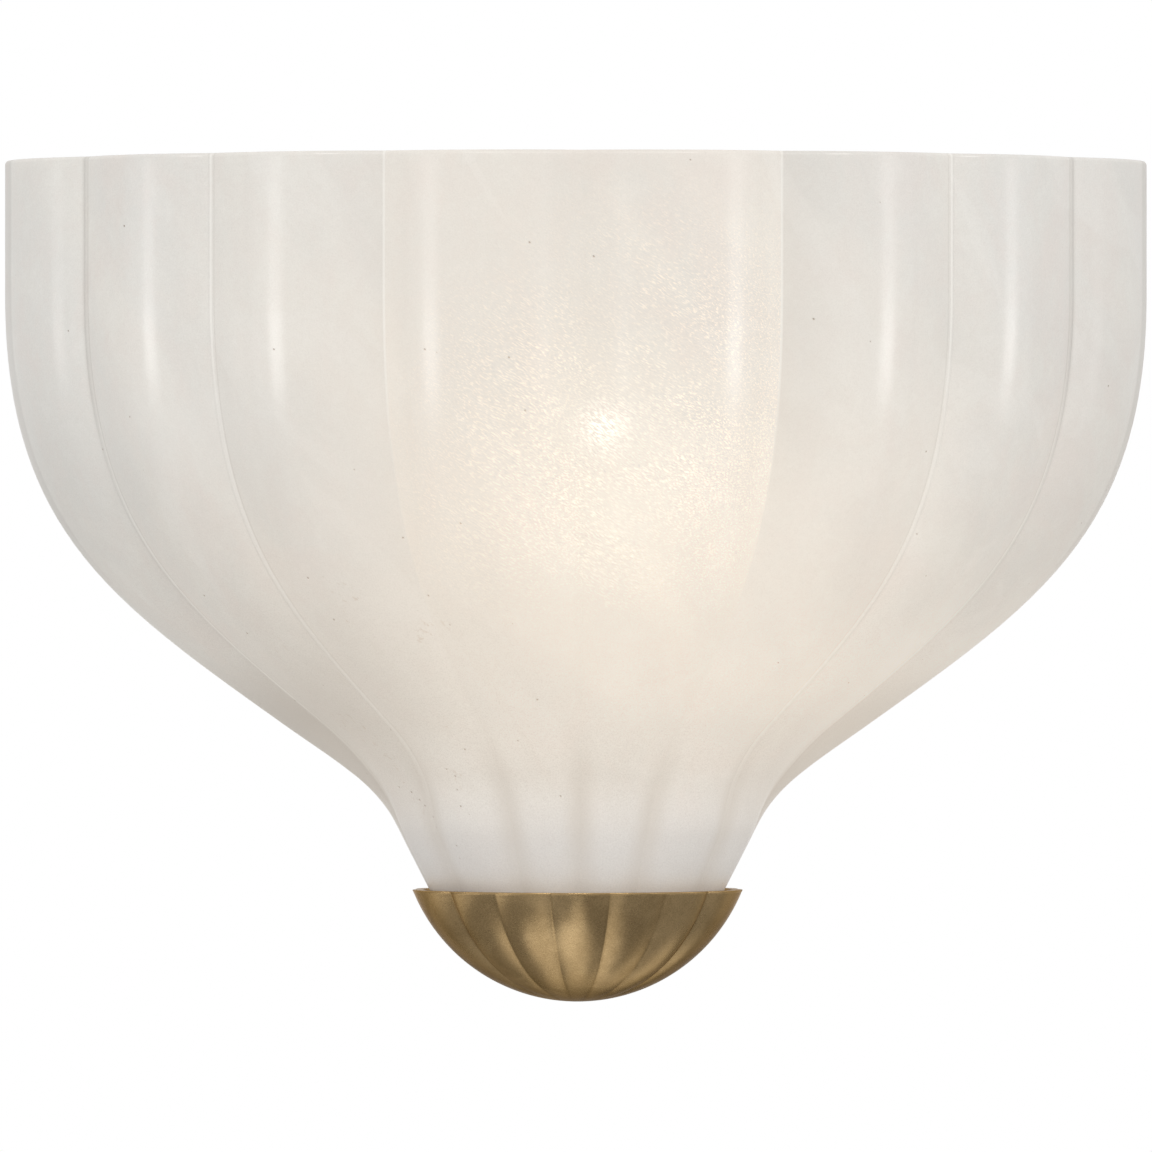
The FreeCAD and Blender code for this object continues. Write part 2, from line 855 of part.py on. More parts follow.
def stud_nuts():
    parts = []
    for x in stud_places():
        start = V(x, -strap_thickness, 0)
        parts.append(nut(m4_nut_across, stud_radius, start, start.add(V(0, -m4_nut_height, 0))))
    return Part.Compound(parts)


def cap_nuts():
    parts = []
    for x in stud_places():
        start = V(x, -pan_depth, 0)
        end = start.add(V(0, -cap_nut_height, 0))
        cap = cylinder(cap_nut_radius, start, end)
        rim = [e for e in cap.Edges if hasattr(e.Curve, "Radius") and abs(e.Vertexes[0].Y - end.y) < 0.01]
        cap = cap.makeFillet(cap_nut_edge, rim)
        for step in range(cap_nut_ribs):
            turn = 2.0 * math.pi * step / cap_nut_ribs
            shift = V(cap_nut_radius * math.cos(turn), 0, cap_nut_radius * math.sin(turn))
            cap = cap.cut(cylinder(cap_nut_rib_depth, start.add(shift), end.add(shift)))
        bore_end = start.add(V(0, -cap_nut_height + cap_nut_crown, 0))
        parts.append(cap.cut(cylinder(stud_radius + thread_fit, start, bore_end)))
    return Part.Compound(parts)


def wall_pads():
    """Felt strips between the back edges of the stone and the wall."""
    parts = []
    for height in (yoke_height - rim_z, pad_strip_low):
        semi_width, semi_depth, centre, sweep, seams, rise = plan_of(height)
        x = semi_width * math.sin(sweep)
        for side in (-1, 1):
            outer = side * (x - pad_strip_edge - slope_loss(height))
            inner = outer - side * pad_strip_width
            z0 = rim_z + height - pad_strip_height / 2.0
            x0 = min(outer, inner)
            x1 = max(outer, inner)
            parts.append(block(x0, x1, -wall_gap, 0, z0, z0 + pad_strip_height))
    return Part.Compound(parts)


def slope_loss(height):
    return half_width(height) - half_width(height - pad_strip_height / 2.0)


# Lampholder and its bracket

def socket_bracket():
    foot_z = holder_bottom() - bracket_thickness / 2.0
    back_y = spine_front - bracket_thickness / 2.0
    toe_y = lamp_y - nipple_radius - bracket_toe
    points = [(back_y, holder_bottom() + bracket_rise), (back_y, foot_z), (toe_y, foot_z)]
    bracket = bent_bar(points, bracket_thickness, bracket_width, bracket_thickness)
    hole_low = V(0, lamp_y, foot_z - bracket_thickness)
    hole = cylinder(nipple_radius + thread_fit, hole_low, V(0, lamp_y, foot_z + bracket_thickness))
    bracket = bracket.cut(hole)
    for x, z in bracket_rivet_places():
        bracket = bracket.cut(hole_through_y(m3_radius + thread_fit, x, z))
    return bracket


def bracket_rivets():
    parts = []
    front = spine_front - bracket_thickness
    back = -pan_depth
    for x, z in bracket_rivet_places():
        shank = cylinder(m3_radius, V(x, front, z), V(x, back, z))
        near = cylinder(rivet_head_radius, V(x, front - rivet_head_height, z), V(x, front, z))
        parts.append(shank.fuse(near))
    return Part.Compound(parts)


def threaded_nipple():
    top = V(0, lamp_y, holder_bottom() + nipple_grip)
    low = top.sub(V(0, 0, nipple_length))
    return cylinder(nipple_radius, low, top).cut(cylinder(nipple_bore, low, top))


def nipple_nut():
    top = V(0, lamp_y, holder_bottom() - bracket_thickness)
    return nut(nipple_nut_across, nipple_radius, top.sub(V(0, 0, nipple_nut_height)), top)


def lampholder_body():
    low = V(0, lamp_y, holder_bottom())
    top = V(0, lamp_y, holder_bottom() + holder_height)
    floor = V(0, lamp_y, holder_bottom() + holder_floor)
    body = cylinder(holder_radius, low, top)
    rims = [e for e in body.Edges if hasattr(e.Curve, "Radius")]
    body = body.makeFillet(holder_edge, rims)
    body = body.cut(cylinder(holder_cavity_radius, floor, top))
    body = body.cut(cylinder(nipple_radius + thread_fit, low, low.add(V(0, 0, nipple_grip))))
    body = body.cut(contact_guide())
    for side in (-1, 1):
        body = body.cut(terminal_pocket(side))
        start, end = terminal_line(side)
        body = body.cut(cylinder(terminal_radius + thread_fit, start, end))
    return body


def contact_guide():
    floor = V(0, lamp_y, holder_bottom() + holder_floor)
    low = floor.sub(V(0, 0, contact_guide_depth))
    return cylinder(contact_stem_radius + thread_fit, low, floor)


def terminal_z():
    return holder_bottom() + terminal_above_base


def terminal_line(side):
    start = V(side * (terminal_face() - terminal_depth - hole_fit), lamp_y, terminal_z())
    return start, V(side * holder_radius, lamp_y, terminal_z())


def terminal_face():
    return holder_radius - terminal_recess


def terminal_pocket(side):
    x0 = terminal_face()
    y0 = lamp_y - terminal_pocket_half
    y1 = lamp_y + terminal_pocket_reach
    z1 = terminal_z() + terminal_pocket_half
    pocket = block(x0, holder_radius, y0, y1, holder_bottom(), z1)
    if side < 0:
        pocket = pocket.mirror(V(0, 0, 0), V(1, 0, 0))
    return pocket


def holder_terminal_screws():
    parts = []
    for side in (-1, 1):
        under = V(side * (terminal_face() + ring_thickness), lamp_y, terminal_z())
        tip = V(side * (terminal_face() - terminal_depth), lamp_y, terminal_z())
        parts.append(screw(terminal_radius, terminal_head_radius, terminal_head_height, under, tip))
    return Part.Compound(parts)


def ring_terminal(centre, away, along, hole):
    """A flat ring on a face, with a neck to a crimped barrel for the lead.

    The face is at the centre and looks along away; the barrel lies along along.
    """
    plate = cylinder(ring_radius, centre, centre.add(away * ring_thickness))
    neck = Part.makeBox(ring_radius + neck_reach, ring_neck, ring_thickness, V(0, -ring_neck / 2.0, 0))
    turn = FreeCAD.Rotation(along, away.cross(along), away, "ZXY")
    neck.Placement = FreeCAD.Placement(centre, turn)
    barrel_end = barrel_mouth(centre, away, along)
    barrel_start = barrel_end.sub(along * barrel_length)
    barrel = cylinder(barrel_radius, barrel_start, barrel_end)
    terminal = plate.fuse([neck, barrel])
    terminal = terminal.cut(cylinder(hole, centre, centre.add(away * ring_thickness)))
    bore_start = barrel_start.add(along * barrel_floor)
    return terminal.cut(cylinder(lead_radius + lead_fit, bore_start, barrel_end))


def barrel_mouth(centre, away, along):
    return centre.add(away * barrel_radius).add(along * (ring_radius + ring_to_barrel + barrel_length))


def holder_ring(side):
    centre = V(side * terminal_face(), lamp_y, terminal_z())
    return centre, V(side, 0, 0), V(0, 1, 0)


def lead_terminals():
    parts = []
    for side in (-1, 1):
        centre, away, along = holder_ring(side)
        parts.append(ring_terminal(centre, away, along, terminal_radius + hole_fit))
    return Part.Compound(parts)


def ridged_tube(inner, outer, low, high, rise):
    """A thin tube whose wall is rolled into rounded rings of the thread's pitch."""
    turns = int((high - low) / thread_pitch)
    start = low + ((high - low) - turns * thread_pitch) / 2.0
    pieces = [revolved([(inner, low), (outer, low), (outer, high), (inner, high)], 0, 0)]
    for turn in range(turns):
        middle = start + (turn + 0.5) * thread_pitch
        ring = Part.makeTorus(outer - rise, rise * 2.0)
        ring.translate(V(0, 0, middle))
        pieces.append(ring)
    tube = fused(pieces)
    core = cylinder(inner, V(0, 0, low), V(0, 0, high))
    tube = tube.cut(core)
    tube.translate(V(0, lamp_y, 0))
    return tube


def screw_shell():
    low = holder_bottom() + holder_floor
    high = low + shell_height
    outer = holder_cavity_radius - thread_rise - shell_fit
    tube = ridged_tube(shell_inner_radius, outer, low, high, thread_rise / 2.0)
    floor = revolved([(shell_floor_hole, low), (outer, low), (outer, low + shell_floor),
                      (shell_floor_hole, low + shell_floor)], 0, lamp_y)
    return tube.fuse(floor).removeSplitter()


def centre_contact():
    top = V(0, lamp_y, rim_z + bulb_tip)
    disc_low = top.sub(V(0, 0, contact_disc))
    stem_low = disc_low.sub(V(0, 0, contact_stem_length))
    return cylinder(contact_radius, disc_low, top).fuse(cylinder(contact_stem_radius, stem_low, disc_low))


def contact_spring():
    low = holder_bottom() + holder_floor + spring_wire_radius + thread_fit
    high = rim_z + bulb_tip - contact_disc - spring_wire_radius - spring_end_gap
    helix = Part.makeHelix((high - low) / spring_turns, high - low, spring_radius)
    ring = Part.makeCircle(spring_wire_radius, V(spring_radius, 0, 0), V(0, 1, 0))
    wire = Part.Wire(helix.Edges).makePipeShell([Part.Wire([ring])], True, True)
    wire.translate(V(0, lamp_y, low))
    return wire


# Bulb

def bulb_line():
    """Heights over the tip of the bulb where its pieces meet."""
    dome_centre = bulb_length - bulb_radius
    base_low = bulb_tip_height + insulator_height
    base_high = base_low + bulb_base_height
    return base_low, base_high, dome_centre


def bulb_z(height):
    return rim_z + bulb_tip + height


def dome_edge():
    base_low, base_high, dome_centre = bulb_line()
    return math.sqrt(bulb_radius ** 2 - (dome_centre - bulb_body_top) ** 2)


def bulb_dome():
    base_low, base_high, dome_centre = bulb_line()
    middle = V(0, lamp_y, bulb_z(dome_centre))
    dome = Part.makeSphere(bulb_radius, middle).cut(Part.makeSphere(bulb_radius - bulb_skin, middle))
    size = bulb_radius * 1.5
    return dome.common(block(-size, size, lamp_y - size, lamp_y + size, bulb_z(bulb_body_top),
                             bulb_z(dome_centre) + size))


def bulb_body():
    base_low, base_high, dome_centre = bulb_line()
    wide = dome_edge()
    narrow = bulb_base_radius + bulb_body_step
    outer = flared(wide, narrow, base_high)
    inner = flared(wide - bulb_body_skin, narrow - bulb_body_skin, base_high)
    body = outer.cut(inner)
    floor = revolved([(0, bulb_z(base_high)), (narrow, bulb_z(base_high)),
                      (narrow, bulb_z(base_high + bulb_body_floor)),
                      (0, bulb_z(base_high + bulb_body_floor))], 0, lamp_y)
    return body.fuse(floor).removeSplitter()


def flared(wide, narrow, low):
    """The body's outline: a curve that leaves the dome at its own slope."""
    base_low, base_high, dome_centre = bulb_line()
    top = bulb_body_top
    slope = (dome_centre - top) / dome_edge()
    knee = wide - slope * (top - low) * 0.45
    poles = [V(wide, 0, bulb_z(top)), V(knee, 0, bulb_z(top - (top - low) * 0.45)),
             V(narrow, 0, bulb_z(low + (top - low) * 0.3)), V(narrow, 0, bulb_z(low))]
    side = Part.BezierCurve()
    side.setPoles(poles)
    edges = [side.toShape(),
             Part.LineSegment(poles[-1], V(0, 0, poles[-1].z)).toShape(),
             Part.LineSegment(V(0, 0, poles[-1].z), V(0, 0, poles[0].z)).toShape(),
             Part.LineSegment(V(0, 0, poles[0].z), poles[0]).toShape()]
    solid = Part.Face(Part.Wire(edges)).revolve(V(0, 0, 0), V(0, 0, 1), 360)
    solid.translate(V(0, lamp_y, 0))
    return solid


def bulb_led_board():
    top = bulb_z(bulb_body_top)
    radius = dome_edge() - bulb_body_skin - bulb_board_gap
    board = cylinder(radius, V(0, lamp_y, top - bulb_board_thickness), V(0, lamp_y, top))
    chips = []
    for step in range(led_count):
        turn = 2.0 * math.pi * step / led_count
        x = radius * led_ring_share * math.cos(turn)
        y = lamp_y + radius * led_ring_share * math.sin(turn)
        chips.append(block(x - led_half, x + led_half, y - led_half, y + led_half, top, top + led_height))
    return board.fuse(chips)


def bulb_board_plate():
    """The aluminium plate that carries the board and presses into the body."""
    top = bulb_z(bulb_body_top) - bulb_board_thickness
    radius = dome_edge() - bulb_body_skin - bulb_plate_gap
    low = top - bulb_plate_thickness
    slope = (bulb_length - bulb_radius - bulb_body_top) / dome_edge()
    radius -= slope * (bulb_plate_thickness + bulb_board_thickness)
    return cylinder(radius, V(0, lamp_y, low), V(0, lamp_y, top))


def bulb_screw_base():
    base_low, base_high, dome_centre = bulb_line()
    inner = bulb_base_radius - thread_rise - bulb_base_skin
    tube = ridged_tube(inner, bulb_base_radius - thread_rise / 2.0, bulb_z(base_low), bulb_z(base_high),
                       thread_rise / 2.0)
    return tube


def bulb_insulator():
    base_low, base_high, dome_centre = bulb_line()
    wide = bulb_base_radius - thread_rise - bulb_base_skin
    low = bulb_z(bulb_tip_height)
    high = bulb_z(base_low)
    top = high + insulator_inside
    narrow = bulb_tip_radius + insulator_rim
    return revolved([(0, low), (narrow, low), (wide, high), (wide, top), (0, top)], 0, lamp_y)


def bulb_tip_contact():
    low = V(0, lamp_y, bulb_z(0.0))
    return cylinder(bulb_tip_radius, low, low.add(V(0, 0, bulb_tip_height)))


# Wiring

def grommet_neck():
    return grommet_radius - grommet_lip


def pan_grommets():
    parts = []
    for side in (-1, 1):
        x = side * grommet_lead_x
        front = V(x, -pan_depth, grommet_z)
        back = V(x, pan_inside, grommet_z)
        outer = V(x, -pan_depth - grommet_flange, grommet_z)
        inner = V(x, pan_inside + grommet_flange, grommet_z)
        body = fused([cylinder(grommet_radius, outer, front), cylinder(grommet_neck(), outer, inner),
                      cylinder(grommet_radius, back, inner)])
        parts.append(body.cut(cylinder(grommet_bore, outer, inner)))
    return Part.Compound(parts)


def lead_points(side):
    centre, away, along = holder_ring(side)
    mouth = barrel_mouth(centre, away, along)
    start = mouth.sub(along * (barrel_length - barrel_floor - lead_end_gap))
    x = side * grommet_lead_x
    wire_x = side * block_wire_x
    return [start,
            V(mouth.x, -pan_depth - lead_turn_behind_pan, mouth.z),
            V(x, -pan_depth - lead_behind_pan, grommet_z),
            V(x, -lead_depth, grommet_z),
            V(x - side * lead_swing_in, -lead_depth, block_low - lead_swing_below),
            V(wire_x, -lead_depth, block_low - lead_below_block),
            V(wire_x, -lead_depth, block_low + lead_in_block)]


def lead(name, points):
    """A round lead of straight runs joined by tangent arcs."""
    radii = []
    for before, corner, after in zip(points, points[1:], points[2:]):
        to_before = before.sub(corner)
        to_after = after.sub(corner)
        half = to_before.getAngle(to_after) / 2.0
        radii.append(lead_share * min(to_before.Length, to_after.Length) * math.tan(half))
    edges, ends = rounded_path(points, radii)
    path = Part.Wire(edges)
    ring = Part.makeCircle(lead_radius, points[0], points[1].sub(points[0]))
    tube = path.makePipeShell([Part.Wire([ring])], True, False)
    plain = math.pi * lead_radius ** 2 * path.Length
    print(name, "bend radii", [round(radius, 1) for radius in radii], "length",
          round(path.Length, 1), "volume share", round(tube.Volume / plain, 4))
    return tube


def block_middle():
    return block_low + block_height / 2.0


def terminal_block():
    y0 = pan_inside
    y1 = -block_gap
    body = block(-block_half_width, block_half_width, y0, y1, block_low, block_low + block_height)
    upright = [edge for edge in body.Edges if abs(edge.tangentAt(edge.FirstParameter).y) > 0.9]
    body = body.makeFillet(block_edge, upright)
    for x in (-block_wire_x, block_wire_x):
        bore_end = V(x, -lead_depth, block_low + block_height)
        body = body.cut(cylinder(lead_radius + lead_fit, V(x, -lead_depth, block_low), bore_end))
        for z in block_screw_heights():
            start = V(x, -lead_depth + lead_radius, z)
            body = body.cut(cylinder(m3_radius + thread_fit, start, V(x, y1, z)))
    return body.cut(hole_through_y(m3_radius + hole_fit, 0, block_middle()))


def block_screw_heights():
    return (block_low + block_screw_inset, block_low + block_height - block_screw_inset)


def block_screws():
    parts = []
    for x in (-block_wire_x, block_wire_x):
        for z in block_screw_heights():
            tip = V(x, -lead_depth + lead_radius + hole_fit, z)
            start = V(x, -block_gap - block_screw_sunk, z)
            grub = cylinder(m3_radius, tip, start)
            slot_low = start.y - block_screw_slot
            slot = block(x - m3_radius, x + m3_radius, slot_low, start.y, z - hole_fit, z + hole_fit)
            parts.append(grub.cut(slot))
    return Part.Compound(parts)


def block_fixing_screw():
    under = V(0, -block_gap, block_middle())
    return screw(m3_radius, m3_head_radius, m3_head_height, under, V(0, spine_front, block_middle()))


def earth_rings():
    strap_spot = V(earth_strap_x, -strap_thickness, 0)
    pan_spot = V(earth_pan_x, pan_inside, earth_pan_z)
    return [(strap_spot, V(0, -1, 0), V(-0.5, 0, 1).normalize()),
            (pan_spot, V(0, 1, 0), V(0.5, 0, -1).normalize())]


def earth_terminals():
    parts = []
    for centre, away, along in earth_rings():
        parts.append(ring_terminal(centre, away, along, m4_radius + hole_fit))
    return Part.Compound(parts)


def earth_screw():
    under = V(earth_strap_x, -strap_thickness - ring_thickness, 0)
    return screw(m4_radius, m4_head_radius, m4_head_height, under, V(earth_strap_x, 0, 0))


def pan_earth_screw():
    under = V(earth_pan_x, pan_inside + ring_thickness, earth_pan_z)
    tip = V(earth_pan_x, -pan_depth - earth_screw_tail, earth_pan_z)
    return screw(m4_radius, m4_head_radius, m4_head_height, under, tip)


def earth_points():
    mouths = []
    starts = []
    for centre, away, along in earth_rings():
        mouth = barrel_mouth(centre, away, along)
        mouths.append(mouth.add(along * earth_lead_straight))
        starts.append(mouth.sub(along * (barrel_length - barrel_floor - lead_end_gap)))
    return [starts[0], mouths[0], mouths[1], starts[1]]


SUB_PARTS = {
    "alabaster_shade": alabaster_shade,
    "brass_cup": brass_cup,
    "neck_gasket": neck_gasket,
    "seat_plate": seat_plate,
    "cup_screw": cup_screw,
    "cup_screw_washer": cup_screw_washer,
    "spine_bar": spine_bar,
    "spine_screws": spine_screws,
    "spine_nuts": spine_nuts,
    "top_yoke": top_yoke,
    "yoke_screws": yoke_screws,
    "side_clip_left": lambda: side_clip(-1),
    "side_clip_right": lambda: side_clip(1),
    "clip_screws": clip_screws,
    "clip_nuts": clip_nuts,
    "pad_screw_left": lambda: pad_screw(-1),
    "pad_screw_right": lambda: pad_screw(1),
    "clip_pad_left": lambda: clip_pad(-1),
    "clip_pad_right": lambda: clip_pad(1),
    "backplate_pan": backplate_pan,
    "mounting_strap": mounting_strap,
    "canopy_studs": canopy_studs,
    "stud_nuts": stud_nuts,
    "cap_nuts": cap_nuts,
    "wall_pads": wall_pads,
    "socket_bracket": socket_bracket,
    "bracket_rivets": bracket_rivets,
    "threaded_nipple": threaded_nipple,
    "nipple_nut": nipple_nut,
    "lampholder_body": lampholder_body,
    "screw_shell": screw_shell,
    "holder_terminal_screws": holder_terminal_screws,
    "lead_terminals": lead_terminals,
    "centre_contact": centre_contact,
    "contact_spring": contact_spring,
    "bulb_dome": bulb_dome,
    "bulb_body": bulb_body,
    "bulb_led_board": bulb_led_board,
    "bulb_board_plate": bulb_board_plate,
    "bulb_screw_base": bulb_screw_base,
    "bulb_insulator": bulb_insulator,
    "bulb_tip_contact": bulb_tip_contact,
    "pan_grommets": pan_grommets,
    "live_lead": lambda: lead("live_lead", lead_points(1)),
    "neutral_lead": lambda: lead("neutral_lead", lead_points(-1)),
    "earth_lead": lambda: lead("earth_lead", earth_points()),
    "terminal_block": terminal_block,
    "block_screws": block_screws,
    "block_fixing_screw": block_fixing_screw,
    "earth_terminals": earth_terminals,
    "earth_screw": earth_screw,
    "pan_earth_screw": pan_earth_screw,
}

os.makedirs("parts", exist_ok=True)
for name, make in SUB_PARTS.items():
    shape = make()
    shape.exportStep("parts/" + name + ".step")
    print(name, len(shape.Solids), "solids", round(shape.Volume, 1), "valid", shape.isValid())
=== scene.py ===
import bpy
import bmesh
import json
import math
import numpy as np
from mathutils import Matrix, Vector


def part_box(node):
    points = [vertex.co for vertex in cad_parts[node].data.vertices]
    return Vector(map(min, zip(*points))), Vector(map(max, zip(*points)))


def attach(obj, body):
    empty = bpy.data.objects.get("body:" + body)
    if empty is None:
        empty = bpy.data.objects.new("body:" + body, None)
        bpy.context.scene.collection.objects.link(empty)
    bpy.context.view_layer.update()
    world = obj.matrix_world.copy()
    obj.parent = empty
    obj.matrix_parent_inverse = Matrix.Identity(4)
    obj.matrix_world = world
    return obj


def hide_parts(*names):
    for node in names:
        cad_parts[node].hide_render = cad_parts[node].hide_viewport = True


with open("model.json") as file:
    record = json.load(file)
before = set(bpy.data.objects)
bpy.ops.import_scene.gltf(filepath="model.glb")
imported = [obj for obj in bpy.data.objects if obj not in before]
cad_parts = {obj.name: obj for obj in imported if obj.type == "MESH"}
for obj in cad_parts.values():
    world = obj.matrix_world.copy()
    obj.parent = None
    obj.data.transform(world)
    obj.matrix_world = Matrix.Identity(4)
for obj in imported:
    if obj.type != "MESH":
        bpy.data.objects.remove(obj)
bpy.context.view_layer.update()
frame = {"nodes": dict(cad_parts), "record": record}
nodes = frame["nodes"]
print("frame loaded:", len(nodes), "nodes")
quarter = math.pi / 2.0


# Meshes from arrays, in mm until they become a mesh

def gridFaces(rows, columns, closeRows=False, closeColumns=False):
    # corner numbers of the quads of a grid, row by row
    r = np.arange(rows if closeRows else rows - 1)
    c = np.arange(columns if closeColumns else columns - 1)
    r, c = np.meshgrid(r, c, indexing="ij")
    r2 = (r + 1) % rows
    c2 = (c + 1) % columns
    corners = [r * columns + c, r * columns + c2, r2 * columns + c2, r2 * columns + c]
    return np.stack(corners, -1).reshape(-1, 4)


def meshFrom(name, points, faceArrays, unitsPerMetre=1000.0):
    # one object from an array of points and arrays of quads or triangles
    mesh = bpy.data.meshes.new(name)
    counts = np.concatenate([np.full(len(f), f.shape[1]) for f in faceArrays])
    corners = np.concatenate([f.ravel() for f in faceArrays])
    starts = np.concatenate([[0], np.cumsum(counts)[:-1]])
    points = np.asarray(points).reshape(-1, 3) / unitsPerMetre
    mesh.vertices.add(len(points))
    mesh.vertices.foreach_set("co", np.ascontiguousarray(points, dtype=np.float32).ravel())
    mesh.loops.add(len(corners))
    mesh.loops.foreach_set("vertex_index", corners.astype(np.int32))
    mesh.polygons.add(len(counts))
    mesh.polygons.foreach_set("loop_start", starts.astype(np.int32))
    mesh.polygons.foreach_set("loop_total", counts.astype(np.int32))
    mesh.polygons.foreach_set("use_smooth", np.ones(len(counts), dtype=bool))
    mesh.update(calc_edges=True)
    mesh.validate()
    piece = bpy.data.objects.new(name, mesh)
    bpy.context.collection.objects.link(piece)
    return piece


def addValues(piece, **layers):
    # a number or a direction for each point
    for name, values in layers.items():
        isVector = values.size == 3 * len(piece.data.vertices)
        layer = piece.data.attributes.new(name, "FLOAT_VECTOR" if isVector else "FLOAT", "POINT")
        flat = np.ascontiguousarray(values, dtype=np.float32).ravel()
        layer.data.foreach_set("vector" if isVector else "value", flat)


def smoothStep(x):
    x = np.clip(x, 0.0, 1.0)
    return x * x * (3.0 - 2.0 * x)


def lengthOf(vectors):
    return np.linalg.norm(vectors, axis=-1)


def unit(vectors):
    return vectors / np.maximum(lengthOf(vectors), 1e-9)[..., None]


def lifted(plan, levels):
    # rings in plan and their levels as points
    return np.concatenate([plan, np.broadcast_to(levels[:, None, None], plan.shape[:2] + (1,))], -1)


# Stone shade

shade = {
    "halfWidth": 168.5, "height": 214.4, "rimLevel": -118.0,
    "neckHalfWidth": 44.1, "neckSlope": 27.5, "neckCorner": 28.8, "neckBend": 39.0,
    "taperSlope": 54.5, "taperTop": 50.5, "shoulder": 174.5, "shoulderPull": 67.9, "taperPull": 59.0,
    "inCup": 8.0, "wallGap": 1.5, "topDepth": 119.0, "neckDepth": 62.4,
    "topSweep": 73.7, "neckSweep": 119.1, "changeLow": 16.0, "changeHigh": 48.0,
    "topSeams": (0.0, 0.258, 0.51, 0.745, 1.0), "neckSeams": (0.0, 0.187, 0.459, 0.731, 1.0),
    "lobes": 8, "lobeRise": 0.078, "wall": 6.5, "waistTrim": 0.6, "waistLevel": 28.5, "waistReach": 9.0,
    "seamRound": 0.55, "neckRound": 1.7, "softLow": 20.0, "softHigh": 60.0, "softLift": 0.7,
    "rimRound": 1.2, "lowRound": 0.5, "backRound": 2.0, "innerRound": 0.8,
    "perLobe": 26, "rows": 116, "rowSplit": 70.0, "roundSteps": 6, "curvePoints": 1500,
}
# the polish follows rounder lobes: degrees turned per lobe, and where it is even with the stone
polish = {"perShare": 145.0, "evenAt": 0.465, "evenStep": 0.053, "low": 60.0, "high": 120.0, "mostTurn": 1.45}


def neckLine(h):
    return shade["neckHalfWidth"] + h * math.tan(math.radians(shade["neckSlope"]))


def taperLine(h):
    corner = shade["neckCorner"]
    return neckLine(corner) + (h - corner) * math.tan(math.radians(shade["taperSlope"]))


def halfWidthAt(h):
    # straight neck, round bend, straight taper, a free curve over the shoulder, then upright
    low, high = math.radians(shade["neckSlope"]), math.radians(shade["taperSlope"])
    bendRadius = shade["neckBend"]
    reach = bendRadius * math.tan((high - low) / 2.0)
    bendTop = shade["neckCorner"] + reach * math.cos(high)
    bendLow = shade["neckCorner"] - reach * math.cos(low)
    middleX = taperLine(bendTop) + bendRadius * math.cos(high)
    middleH = bendTop - bendRadius * math.sin(high)
    arc = middleX - np.sqrt(np.maximum(bendRadius ** 2 - (h - middleH) ** 2, 0.0))
    start = np.array([taperLine(shade["taperTop"]), shade["taperTop"]])
    end = np.array([shade["halfWidth"], shade["shoulder"]])
    first = start + shade["taperPull"] * np.array([math.sin(high), math.cos(high)])
    second = end - np.array([0.0, shade["shoulderPull"]])
    t = np.linspace(0.0, 1.0, shade["curvePoints"])[:, None]
    curve = (1 - t) ** 3 * start + 3 * (1 - t) ** 2 * t * first + 3 * (1 - t) * t ** 2 * second + t ** 3 * end
    width = np.where(h <= bendLow, neckLine(h), arc)
    width = np.where(h >= bendTop, taperLine(h), width)
    width = np.where(h >= shade["taperTop"], np.interp(h, curve[:, 1], curve[:, 0]), width)
    width = width - shade["waistTrim"] * np.exp(-((h - shade["waistLevel"]) / shade["waistReach"]) ** 2)
    return np.where(h >= shade["shoulder"], shade["halfWidth"], width)


def planAt(h):
    # half an ellipse against the wall: half axes, middle, sweep, seams and lobes' rise, a row for each height
    h = np.clip(h, -shade["inCup"], shade["height"])[:, None]
    change = smoothStep((h - shade["changeLow"]) / (shade["changeHigh"] - shade["changeLow"]))
    topSweep, neckSweep = math.radians(shade["topSweep"]), math.radians(shade["neckSweep"])
    sweep = neckSweep + (topSweep - neckSweep) * change
    width = halfWidthAt(h)
    spread = (width - shade["neckHalfWidth"]) / (shade["halfWidth"] - shade["neckHalfWidth"])
    depth = shade["neckDepth"] + (shade["topDepth"] - shade["neckDepth"]) * spread
    semiDepth = (depth - shade["wallGap"]) / (1.0 - np.cos(sweep))
    middle = shade["wallGap"] - semiDepth * np.cos(sweep)
    rise = shade["lobeRise"] * width * sweep / 4.0
    semiWidth = np.where(sweep < quarter, width / np.sin(sweep), width) - (1.0 - change ** 2) * rise
    low, high = np.array(shade["neckSeams"]), np.array(shade["topSeams"])
    seams = (low + (high - low) * change) * sweep
    return semiWidth, semiDepth, middle, sweep, np.concatenate([-seams[:, :0:-1], seams], 1), rise


def onEllipse(a, b, middle, angle, out=0.0):
    # a point of the ellipse, moved outwards along its normal
    nx, ny = np.sin(angle) / a, np.cos(angle) / b
    size = np.hypot(nx, ny)
    return np.stack([a * np.sin(angle) + out * nx / size, -middle - b * np.cos(angle) - out * ny / size], -1)


def arcThrough(first, crown, last, t):
    # the circle's arc through three points, t from -1 at the first to 1 at the last
    u, v = crown - first, last - first
    cross = 2.0 * (u[..., 0] * v[..., 1] - u[..., 1] * v[..., 0])
    uu, vv = (u ** 2).sum(-1), (v ** 2).sum(-1)
    centre = np.stack([v[..., 1] * uu - u[..., 1] * vv, u[..., 0] * vv - v[..., 0] * uu], -1)
    centre = first + centre / cross[..., None]
    radius = lengthOf(first - centre)
    start, end = [np.arctan2(spot[..., 1], spot[..., 0]) for spot in (first - centre, last - centre)]
    end = np.where(end < start, end + 4.0 * quarter, end)
    turn = start[..., None] + (end - start)[..., None] * (t + 1.0) / 2.0
    return centre[..., None, :] + radius[..., None, None] * np.stack([np.cos(turn), np.sin(turn)], -1)


